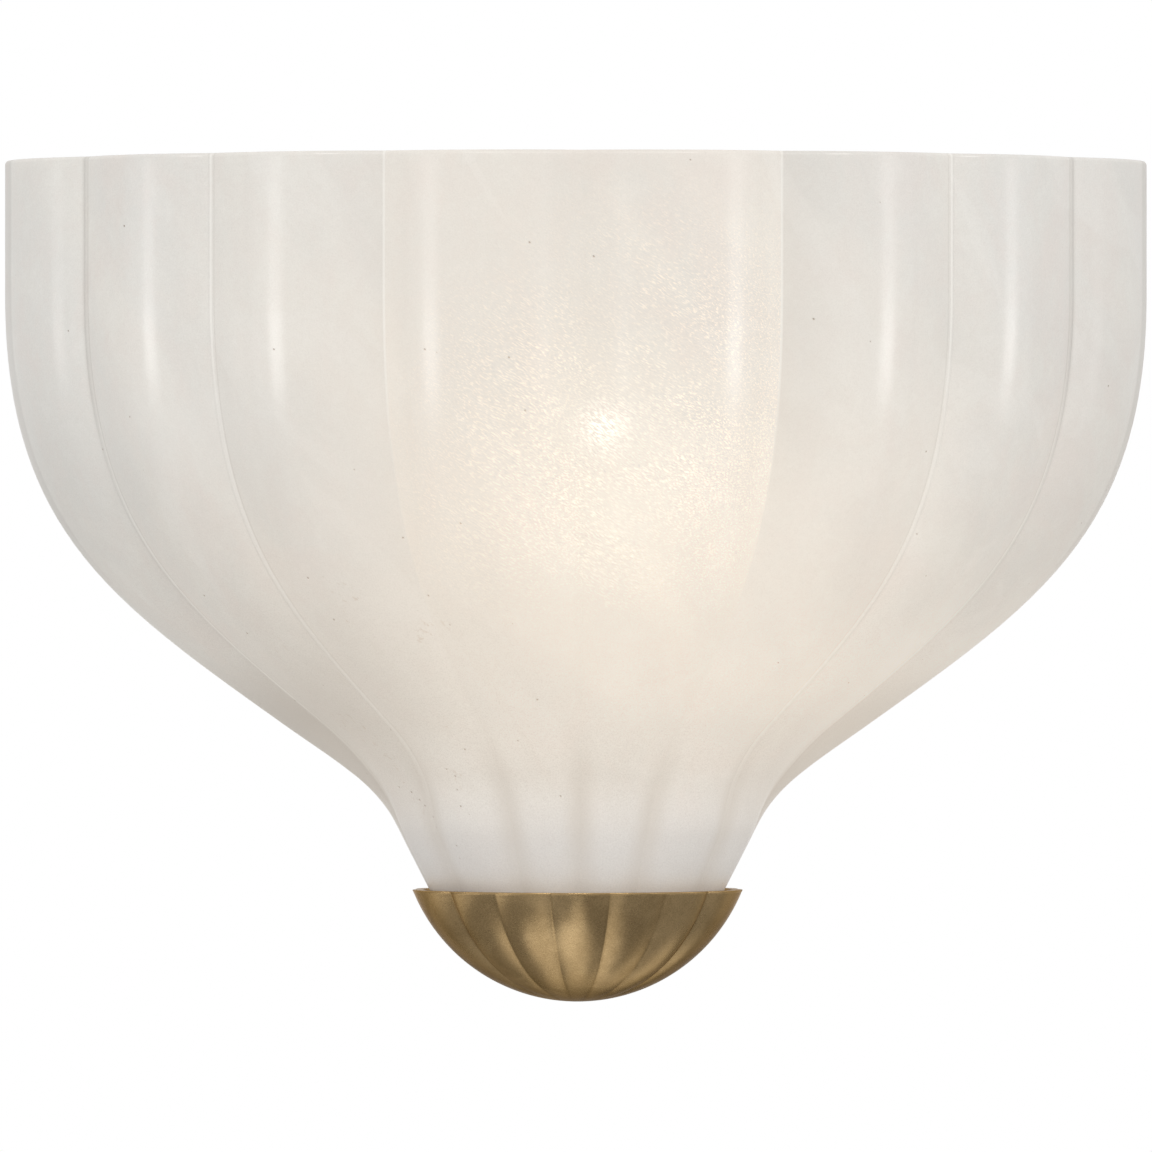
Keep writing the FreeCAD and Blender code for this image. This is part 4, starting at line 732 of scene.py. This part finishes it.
def makeSeams():
    # the small bead along each seam, its painted highlight and shade lines, and painted shade in the soft
    # valleys at the neck
    g, given, out = startGroup("seamBead", {"Bead Half Width": 1.0}, ("Bead", "Light", "Shade", "ValleyShade"))
    place = g.math("absolute", g.attribute("lobePlace"))
    height, outer, gap = g.attribute("heightUp"), g.attribute("outside"), g.attribute("seamGap")
    seam = g.math("round", place)
    inward = g.math("greater_than", g.math("fract", place), 0.5)
    isSeam = g.product(g.math("less_than", seam, 3.5), outer)
    notLast = g.math("less_than", seam, 2.5)
    isLast = g.math("subtract", 1.0, notLast)
    # 0 at the middle seam, a little at the first on each side, full at the outer ones
    side = g.range(seam, 0.0, 1.0, kind="LINEAR")
    outerSeams = g.range(seam, 1.0, 2.0, 0.06, 1.0, kind="LINEAR")
    upper = g.range(height, 115.0, 165.0)
    faded = g.range(height, 18.0, 62.0, 0.15, 1.0)
    share = g.math("divide", gap, given["Bead Half Width"])
    bead = g.product(g.range(share, 0.2, 1.1, 1.0, 0.0), isSeam, side, outerSeams, faded)
    # painted highlight: a thin light line along the upper seams
    line = g.product(g.range(gap, 0.15, 0.5, 1.0, 0.0), isSeam, side, notLast, upper)
    # painted highlight lower down: a light band along the bead
    band = g.product(g.range(gap, 0.5, 1.2, 1.0, 0.0), isSeam, side, outerSeams,
        g.math("subtract", 1.0, upper), faded, 0.70)
    # the last seam has painted shade above, where it turns from the light, and a painted highlight below
    lastBand = g.product(g.range(gap, 0.3, 0.9, 1.0, 0.0), isSeam, isLast, g.range(height, 46.0, 60.0),
                         g.range(height, 105.0, 135.0, 1.0, 0.0))
    lastLine = g.product(g.range(gap, 0.7, 2.2, 1.0, 0.0), isSeam, isLast,
        g.total(0.10, g.product(upper, 0.22)), g.math("subtract", 1.0, lastBand))
    neck = g.range(height, 14.0, 52.0, 1.0, 0.0)
    # painted shade: a thin dark line on the centre side of each bead
    crease = g.product(g.range(gap, 0.9, 1.25), g.range(gap, 1.25, 1.9, 1.0, 0.0), isSeam, outerSeams, inward,
                       g.math("subtract", 0.24, g.product(neck, 0.20)))
    # painted shade along the rounded back edges
    backEdge = g.product(g.range(g.attribute("edgeGap"), 1.7, 2.5, 0.36, 0.0),
                         g.range(height, 78.0, 110.0), outer)
    # painted shade in the soft valleys at the neck
    valley = g.product(g.range(gap, 0.0, 6.5, 1.0, 0.0), isSeam, g.range(height, 20.0, 54.0, 1.0, 0.0),
                       g.range(height, 4.0, 20.0, 0.5, 1.0))
    g.fill(out, {"Bead": bead, "Light": g.most(line, band, lastBand),
                 "Shade": g.total(crease, lastLine, backEdge), "ValleyShade": valley})
    return g.tree


def makeLampGlow():
    # the lamp's light in the stone, painted as glow: broad and warm, stronger in the two middle lobes, where
    # crystals show
    values = {name.title(): stone[name] for name in ("broad", "low", "heart", "sparkle")}
    g, given, out = startGroup("lampGlow", {**values, "Clouds": 0.5}, ("Colour",))
    place = g.math("absolute", g.attribute("lobePlace"))
    central = g.product(g.range(place, 0.985, 1.005, 1.0, 0.0), g.range(g.attribute("heightUp"), 62.0, 105.0))
    # crystals, painted as sparkle in the glow: slanting streaks and flecks in drifts
    streaks = g.noise(g.slanted(33.0, 5.0), 3200.0, 1.0, 0.5)
    flecks = g.noise(g.slanted(28.0, 3.6), 2400.0, 4.0, 0.75)
    drift = g.noise(g.slanted(35.0, 1.8), 46.0, 4.0, 0.6)
    grain = g.total(g.product(streaks, 0.6), g.product(flecks, 0.4))
    near = g.math("power", g.oval(0.020, 0.008, 0.082, 0.086), 0.5)
    zone = g.product(central, near, g.range(drift, 0.36, 0.60, 0.50, 1.35))
    dim = g.product(g.range(grain, 0.34, 0.48, 1.0, 0.0), 0.28)
    crystals = g.product(g.math("subtract", g.range(grain, 0.52, 0.64), dim), zone)
    amount = g.product(g.math("power", g.oval(0.002, -0.010, 0.190, 0.190), 0.8), given["Broad"],
                       g.total(0.80, g.product(central, 0.20)))
    amount = g.product(g.total(amount, g.product(central, 0.020)),
        g.total(0.80, g.product(given["Clouds"], 0.40)))
    amount = g.total(amount, g.product(crystals, given["Sparkle"]))
    halo = g.range(g.oval(stone["glowX"] + 0.004, 0.002, 0.085, 0.125), 0.0, 0.9)
    heart = g.product(g.oval(stone["glowX"] + 0.0015, 0.0170, 0.012, 0.012), given["Heart"],
                      g.range(grain, 0.44, 0.58, 0.15, 3.0))
    falling = g.product(g.math("power", g.oval(0.050, -0.055, 0.225, 0.104), 0.65), given["Low"])
    warmth = g.layers(stone["warm"], (halo, stone["core"]))
    light = g.vector("scale", {0: warmth, "Scale": g.most(amount, 0.0)})
    for tone, share in ((stone["heartWarm"], heart), (stone["lowWarm"], falling)):
        light = g.vector("add", {0: light, 1: g.vector("scale", {0: tone, "Scale": share})})
    g.fill(out, {"Colour": light})
    return g.tree


def makeAlabaster():
    material, g, shader = startMaterial("alabaster")
    tone = g.use(makeStoneTone(), veinAmount=stone["veinAmount"], patchAmount=stone["patchAmount"])
    seams = g.use(makeSeams(), beadHalfWidth=stone["beadHalfWidth"])
    glow = g.use(makeLampGlow(), clouds=tone["Clouds"])["Colour"]
    height, signed = g.attribute("heightUp"), g.attribute("lobePlace")
    place = g.math("absolute", signed)
    # painted shade beside the neck and right of the lit lobes; darker high on the right and on the last lobe
    sides = g.product(g.range(place, 1.3, 2.4), g.range(height, 10.0, 30.0),
        g.range(height, 45.0, 72.0, 1.0, 0.0), 0.22)
    ends = g.product(g.range(place, 2.98, 3.06), g.range(height, 20.0, 32.0),
        g.range(height, 50.0, 72.0, 1.0, 0.0), 0.40)
    beside = g.product(g.range(signed, 0.99, 1.01), g.range(signed, 1.0, 1.45, 0.15, 0.0),
        g.range(height, 90.0, 130.0))
    right = g.product(g.oval(0.105, 0.038, 0.085, 0.060), 0.12)
    last = g.range(signed, 2.95, 3.10, 0.0, 0.07)
    # painted shade: the stone greyed and darkened towards the neck where it meets the cup
    colour = g.layers(tone["Colour"], (g.range(height, 12.0, 40.0, 0.48, 0.0), stone["ash"]),
        # painted shade in the soft valleys at the neck
        (g.product(seams["ValleyShade"], 0.55), stone["soil"]),
        # painted warmth of the lamp's light, tan, over the middle of the stone
        (g.product(g.math("power", g.oval(-0.010, 0.006, 0.150, 0.160), 0.7), 0.55), stone["tan"]),
        # painted shade low on the left
        (g.product(g.oval(-0.080, -0.068, 0.060, 0.050), 0.50), stone["soil"]),
        (g.total(sides, ends), stone["soil"]), (g.total(beside, right, last), stone["soil"]),
        # a paler patch high on the left
        (g.product(g.oval(-0.115, 0.017, 0.055, 0.032), 0.40), stone["vein"]),
        (g.product(seams["Light"], 0.42), stone["seamLight"]),
        (g.product(seams["Shade"], 0.8), stone["seamShade"]))
    # painted glow on the flanks stands in for light that wanders inside the stone and evens them out
    flank = g.range(g.put("LayerWeight").outputs["Facing"], 0.15, 0.75, 0.0, stone["bulk"])
    light = g.vector("add", {0: glow, 1: g.vector("scale", {0: colour, "Scale": flank})})
    ripple = g.noise(g.space(scale=(1.0, 1.0, 0.25)), 55.0, 3.0, 0.5)
    fine = g.noise(g.space(), 1500.0, 2.0, 0.5)
    relief = g.total(g.product(ripple, 0.5), g.product(fine, 0.10), g.product(seams["Bead"], 0.55))
    relief = g.math("subtract", relief, g.product(tone["Pits"], 0.5))
    # the polish: best on the lobes' flanks, lost towards the outline
    polished = g.put("VectorTransform", {0: g.attribute("polish", "Vector")}, vector_type="NORMAL",
                     convert_from="OBJECT", convert_to="WORLD").outputs[0]
    facing = g.put("LayerWeight", {"Normal": polished}).outputs["Facing"]
    weight = g.product(g.range(place, 0.42, 0.60, 0.25, 1.0), g.range(place, 0.98, 1.02, 0.82, 1.0),
                       g.range(facing, 0.32, 0.70, 1.0, 0.0), g.range(place, 2.9, 3.2, 1.0, 0.55),
                       g.range(signed, 2.9, 3.2, 1.0, 0.4), g.range(height, 40.0, 110.0, 0.25, 1.0))
    roughness = g.range(tone["Clouds"], 0.3, 0.7, stone["roughness"] - 0.06, stone["roughness"] + 0.08)
    g.fill(shader, {"Base Color": colour, "Emission Color": light, "Emission Strength": 1.0,
                    "Roughness": roughness, "Specular IOR Level": stone["specular"],
                    "Normal": g.bump(relief, 0.8, 0.0005), "Coat Normal": polished, "Coat Weight": weight,
                    "Coat Roughness": stone["coatRoughness"], "Coat IOR": stone["coatIor"]})
    return material


# Metals, paints, rubbers and the lamp's own materials

def finished(g, shader, film, colour, roughness, relief, **values):
    # what these share: the film's play in the roughness, and a bump
    low, high = roughness
    g.fill(shader, {"Base Color": colour, "Roughness": g.range(film["Film"], 0.3, 0.7, low, high),
                    "Normal": g.bump(*relief), **labelled(values)})


def shaded(colour, share):
    return tuple(min(1.0, c * share) for c in colour)


def makeBrass(name, light, dark, roughness, patina=False):
    material, g, shader = startMaterial(name)
    grain = g.use(metalGrain, grainScale=2600.0, patchScale=45.0, speckAmount=0.08 if patina else 0.4)
    film = g.use(surfaceFilm, filmScale=60.0, dustAmount=0.03 if patina else 0.15)
    worn = g.range(grain["Patches"], 0.38, 0.64)
    if patina:
        # rubbed bright on the crowns, darker in the valleys and on the rim's edge
        crown = g.range(g.attribute("valleyGap"), 0.0, 0.9)
        worn = g.total(g.product(worn, 0.55), g.product(crown, 0.25))
        worn = g.math("subtract", worn, g.range(g.part(g.space(), "Z"), -0.1187, -0.1182, 0.0, 0.8))
        # the colour at grazing angles, which would else be white
        g.fill(shader, {"Specular Tint": (0.52, 0.44, 0.36)})
    worn = g.math("add", worn, g.range(grain["Grain"], 0.3, 0.7, -0.34, 0.34, kind="LINEAR"), use_clamp=True)
    colour = g.layers(dark, (worn, light), (g.product(grain["Specks"], 0.5), shaded(dark, 0.35)),
                      (film["Dust"], (0.55, 0.52, 0.47)))
    finished(g, shader, film, colour, (roughness - 0.05, roughness + 0.07), (grain["Grain"], 0.12, 0.0002),
        metallic=1.0)
    return material


def makeSteel(name, light, dark, roughness, stretch=(1.0, 1.0, 1.0), tint=None):
    # plated or bare metal: a cloudy plating over a fine grain
    material, g, shader = startMaterial(name)
    grain = g.use(metalGrain, grainScale=1300.0, patchScale=160.0, speckAmount=0.35, stretch=stretch)
    film = g.use(surfaceFilm, filmScale=120.0, dustAmount=0.2)
    colour = g.layers(dark, (g.range(grain["Patches"], 0.35, 0.65), light))
    if tint:
        colour = g.layers(colour, (g.range(film["Film"], 0.5, 0.75, 0.0, 0.35), tint))
    colour = g.layers(colour, (g.product(grain["Specks"], 0.4), shaded(dark, 0.4)),
        (film["Dust"], (0.6, 0.58, 0.55)))
    finished(g, shader, film, colour, (roughness - 0.07, roughness + 0.09), (grain["Grain"], 0.12, 0.00015),
        metallic=1.0)
    return material


def makePaint(name, colour, roughness, peel=0.2, coat=0.3, fleck=0.0):
    # baked enamel, glaze or moulded plastic: a slow ripple, a film and dust on what faces up
    material, g, shader = startMaterial(name)
    film = g.use(surfaceFilm, filmScale=70.0, dustAmount=0.35)
    tone = g.layers(shaded(colour, 0.93), (g.range(film["Film"], 0.3, 0.7), shaded(colour, 1.04)),
                    (film["Dust"], (0.62, 0.60, 0.56)))
    if fleck:
        marks = g.range(g.noise(g.space(), 900.0, 2.0, 0.5), 0.68, 0.74)
        tone = g.layers(tone, (g.product(marks, fleck), (0.2, 0.18, 0.16)))
    finished(g, shader, film, tone, (roughness - 0.05, roughness + 0.08),
        (g.noise(g.space(), 420.0, 3.0, 0.5), peel, 0.0002), coatWeight=coat, coatRoughness=0.15)
    return material


def makeRubber(name, colour, roughness=0.75):
    material, g, shader = startMaterial(name)
    film = g.use(surfaceFilm, filmScale=90.0, dustAmount=0.5)
    tone = g.layers(colour, (g.range(film["Film"], 0.35, 0.7), shaded(colour, 1.7)),
        (film["Dust"], (0.42, 0.40, 0.37)))
    pores = g.noise(g.space(), 1600.0, 3.0, 0.7)
    finished(g, shader, film, tone, (roughness - 0.1, roughness + 0.1), (pores, 0.35, 0.0003))
    return material


def makeFelt():
    # pressed wool: crossing fibres, lint and a soft sheen
    material, g, shader = startMaterial("wallFelt")
    fibres = g.most(g.noise(g.space(scale=(0.16, 1.0, 1.0), rotation=(0.0, 0.7, 0.0)), 2400.0, 4.0, 0.7),
                    g.noise(g.space(scale=(1.0, 1.0, 0.16), rotation=(0.0, 0.5, 0.3)), 2200.0, 4.0, 0.7))
    tone = g.layers((0.50, 0.48, 0.43), (g.range(fibres, 0.4, 0.75), (0.72, 0.70, 0.65)))
    g.fill(shader, {"Base Color": tone, "Roughness": 0.95, "Sheen Weight": 0.4,
                    "Normal": g.bump(fibres, 0.8, 0.0004)})
    return material


def makeOpalBulb():
    # opal plastic lit from inside, brightest high on the dome
    material, g, shader = startMaterial("bulbDiffuser")
    film = g.use(surfaceFilm, filmScale=30.0, dustAmount=0.1)
    level = g.range(g.part(g.place(), 2), 0.0, 0.04)
    tone = g.layers((0.86, 0.84, 0.78), (film["Film"], (0.92, 0.90, 0.85)))
    finished(g, shader, film, tone, (0.28, 0.38), (g.noise(g.space(), 900.0, 2.0, 0.5), 0.06, 0.0001),
        emissionStrength=2.2, emissionColor=g.layers((1.0, 0.66, 0.36), (level, (1.0, 0.80, 0.55))))
    return material


def makeBoard():
    # white solder mask with a ring of warm chips that stand above it
    material, g, shader = startMaterial("ledBoard")
    low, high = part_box("bulb_led_board")
    film = g.use(surfaceFilm, filmScale=200.0, dustAmount=0.1)
    chips = g.range(g.part(g.place(), 2), high[2] - 0.0007, high[2] - 0.0005)
    tone = g.layers((0.80, 0.80, 0.78), (film["Film"], (0.88, 0.88, 0.86)), (chips, (0.90, 0.72, 0.22)))
    lit = g.vector("scale", {0: (1.0, 0.72, 0.40), "Scale": chips})
    g.fill(shader, {"Base Color": tone, "Emission Color": lit, "Emission Strength": 3.0,
                    "Roughness": g.range(film["Film"], 0.3, 0.7, 0.35, 0.5)})
    return material


finishes = {
    "alabaster": makeAlabaster(),
    "antique_brass": makeBrass("antiqueBrass", (0.74, 0.525, 0.270), (0.42, 0.285, 0.135), 0.27, patina=True),
    "bright_brass": makeBrass("brightBrass", (0.72, 0.50, 0.20), (0.50, 0.33, 0.12), 0.24),
    "frame_enamel": makePaint("frameEnamel", (0.70, 0.69, 0.66), 0.32, peel=0.25, coat=0.5),
    "zinc_steel": makeSteel("zincSteel", (0.66, 0.67, 0.69), (0.46, 0.47, 0.49), 0.30,
                            tint=(0.62, 0.60, 0.45)),
    "gasket_rubber": makeRubber("gasketRubber", (0.025, 0.025, 0.025)),
    "wall_felt": makeFelt(),
    "porcelain": makePaint("porcelain", (0.80, 0.79, 0.75), 0.12, peel=0.10, coat=0.9, fleck=0.5),
    "nickel_shell": makeSteel("nickelShell", (0.72, 0.68, 0.60), (0.58, 0.54, 0.47), 0.22,
                              stretch=(1.0, 1.0, 6.0)),
    "contact_brass": makeBrass("contactBrass", (0.78, 0.53, 0.26), (0.60, 0.38, 0.17), 0.28),
    "bulb_diffuser": makeOpalBulb(),
    "bulb_plastic": makePaint("bulbPlastic", (0.80, 0.80, 0.78), 0.42, peel=0.12, coat=0.0),
    "led_board": makeBoard(),
    "board_aluminium": makeSteel("boardAluminium", (0.72, 0.72, 0.73), (0.56, 0.56, 0.57), 0.36,
                                 stretch=(0.1, 1.0, 1.0)),
    "black_insulator": makePaint("blackInsulator", (0.015, 0.015, 0.018), 0.18, peel=0.08, coat=0.6),
    "solder": makeSteel("solder", (0.60, 0.60, 0.58), (0.38, 0.38, 0.37), 0.42),
    "live_insulation": makePaint("liveInsulation", (0.02, 0.02, 0.02), 0.38, peel=0.10, coat=0.1),
    "neutral_insulation": makePaint("neutralInsulation", (0.76, 0.76, 0.73), 0.38, peel=0.10, coat=0.1),
    "earth_insulation": makePaint("earthInsulation", (0.03, 0.22, 0.06), 0.38, peel=0.10, coat=0.1),
    "block_plastic": makePaint("blockPlastic", (0.66, 0.64, 0.57), 0.45, peel=0.14, coat=0.0, fleck=0.2),
    "tinned_copper": makeSteel("tinnedCopper", (0.70, 0.67, 0.62), (0.55, 0.50, 0.44), 0.34,
                               tint=(0.70, 0.45, 0.30)),
    "earth_green": makePaint("earthGreen", (0.02, 0.17, 0.05), 0.30, peel=0.12, coat=0.3),
    "grommet_rubber": makeRubber("grommetRubber", (0.03, 0.03, 0.03), 0.65),
}
print("finishes made:", len(finishes))

slotOf = {part["node"]: part["material_slot"] for part in frame["record"]["subparts"]}
for nodeName, node in nodes.items():
    node.data.materials.clear()
    node.data.materials.append(finishes[slotOf[nodeName]])
for piece, finish in ((stoneShade, "alabaster"), (gadroonCup, "antique_brass"), (bulbBase, "nickel_shell"),
        (holderShell, "nickel_shell"), (nippleThread, "zinc_steel"), (studThreads, "zinc_steel")):
    piece.data.materials.append(finishes[finish])


# Studio, in metres

studio = {
    "distance": 4.1, "cameraX": -0.075, "cameraZ": -0.0225, "aimX": 0.0, "aimZ": -0.026,
    "pixelsPerMetre": 3386.4, "frame": 1152.0, "sensor": 36.0, "clipEnd": 50.0, "ambient": 0.545,
    "sideAzimuth": 76.0, "sideDistance": 1.6, "sideLevel": -0.05,
    "sideWide": 0.58, "sideHigh": 0.24, "sidePower": 3.3,
    "keyAzimuth": 2.0, "keyDistance": 2.6, "keyLevel": 1.9, "keyWide": 1.6, "keyHigh": 1.0, "keyPower": 43.0,
    "lampAim": (0.0, -0.06, 0.0), "floorLevel": -0.45, "floorSide": 2.2, "floorFront": -3.0, "floorBack": 2.0,
}
# the card: pale under the cup, straight before it and far out, else dark
card = {"side": 1.0, "front": -1.0, "back": 0.6, "z": -0.44, "pale": 0.86, "dark": 0.10}


def placed(name, data, location, target):
    # a camera or a lamp turned towards a point
    thing = bpy.data.objects.new(name, data)
    bpy.context.collection.objects.link(thing)
    thing.location = location
    thing.rotation_euler = (Vector(target) - thing.location).to_track_quat("-Z", "Y").to_euler()
    return thing


def areaLamp(name, side, kind):
    # a rectangular lamp on a circle round the object, its azimuth from the front
    data = bpy.data.lights.new(name, "AREA")
    data.shape = "RECTANGLE"
    data.size, data.size_y, data.energy = studio[kind + "Wide"], studio[kind + "High"], studio[kind + "Power"]
    turn = math.radians(side * studio[kind + "Azimuth"])
    distance = studio[kind + "Distance"]
    location = (distance * math.sin(turn), -distance * math.cos(turn), studio[kind + "Level"])
    placed(name, data, location, studio["lampAim"])


def flatPiece(name, side, front, back, z, material):
    points = [[-side, front, z], [side, front, z], [side, back, z], [-side, back, z]]
    piece = meshFrom(name, points, [np.array([[0, 1, 2, 3]])], 1.0)
    piece.data.materials.append(material)
    return piece


def makeCardLight():
    material, g, shader = startMaterial("bounceCard")
    x, y = [g.part(g.space(), axis) for axis in "XY"]

    def spot(cx, cy, inner, outer, amount):
        spread = g.vector("distance", {0: g.space(), 1: (cx, cy, card["z"])}, "Value")
        return g.range(spread, inner, outer, amount, 0.0)

    column = g.product(g.range(g.math("absolute", g.math("add", x, 0.01)), 0.03, 0.10, 1.0, 0.0),
        g.range(y, -0.40, -0.26), g.range(y, 0.10, 0.28, 0.92, 0.35))
    left = g.product(g.range(x, -0.10, 0.0, 0.22, 0.0), g.range(y, -0.5, -0.2))
    lit = g.most(column, spot(-0.05, -0.08, 0.08, 0.20, 1.0), g.range(x, -0.60, -0.38, 0.9, 0.0),
                 g.range(y, -0.62, -0.44, 0.8, 0.0), left, g.range(x, 0.04, 0.16, 0.0, 0.17),
                 spot(0.17, 0.20, 0.06, 0.22, 0.75), g.range(x, -0.36, -0.18, 0.20, 0.0))
    weave = g.noise(g.space(), 30.0, 4.0, 0.5)
    dark, pale = [g.layers((card[tone] * (1.0 - play),) * 3, (weave, (card[tone] * (1.0 + play),) * 3))
                  for tone, play in (("dark", 0.1), ("pale", 0.03))]
    g.fill(shader, {"Base Color": g.layers((0.02, 0.02, 0.02), (weave, (0.03, 0.03, 0.03))),
                    "Emission Color": g.layers(dark, (lit, pale)), "Emission Strength": 1.0, "Roughness": 1.0,
                    "Specular IOR Level": 0.0})
    return material


def makeFloorPaint():
    material, g, shader = startMaterial("paleFloor")
    cloth = g.noise(g.space(), 6.0, 4.0, 0.5)
    tone = g.layers((0.60, 0.60, 0.60), (cloth, (0.65, 0.65, 0.64)))
    g.fill(shader, {"Base Color": tone, "Roughness": 0.9})
    return material


cameraData = bpy.data.cameras.new("camera")
cameraData.sensor_width = studio["sensor"]
cameraData.lens = studio["pixelsPerMetre"] * studio["distance"] * studio["sensor"] / studio["frame"]
cameraData.clip_end = studio["clipEnd"]
cameraPlace = (studio["cameraX"], -studio["distance"], studio["cameraZ"])
bpy.context.scene.camera = placed("camera", cameraData, cameraPlace, (studio["aimX"], 0.0, studio["aimZ"]))

# a white background for the camera and in reflections, a softer one as light
world = bpy.data.worlds.new("studioWorld")
bpy.context.scene.world = world
world.use_nodes = True
g = Graph(world.node_tree)
path = g.put("LightPath").outputs
seen = g.most(path["Is Camera Ray"], path["Is Glossy Ray"], path["Is Transmission Ray"])
sky = g.layers((studio["ambient"],) * 3, (seen, (1.0, 1.0, 1.0)))
g.fill(world.node_tree.nodes["Background"].inputs, {"Color": sky})

for side in (-1, 1):
    areaLamp("sideStrip", side, "side")
areaLamp("frontKey", 1, "key")

# the bounce card lies on the floor and is seen only in reflections
cardMesh = flatPiece("bounceCard", card["side"], card["front"], card["back"], card["z"], makeCardLight())
cardMesh.visible_camera = False
cardMesh.visible_diffuse = False
cardMesh.visible_shadow = False
floorMesh = flatPiece("studioFloor", studio["floorSide"], studio["floorFront"], studio["floorBack"],
    studio["floorLevel"], makeFloorPaint())

bpy.context.scene.view_settings.view_transform = "Standard"
print("studio made")
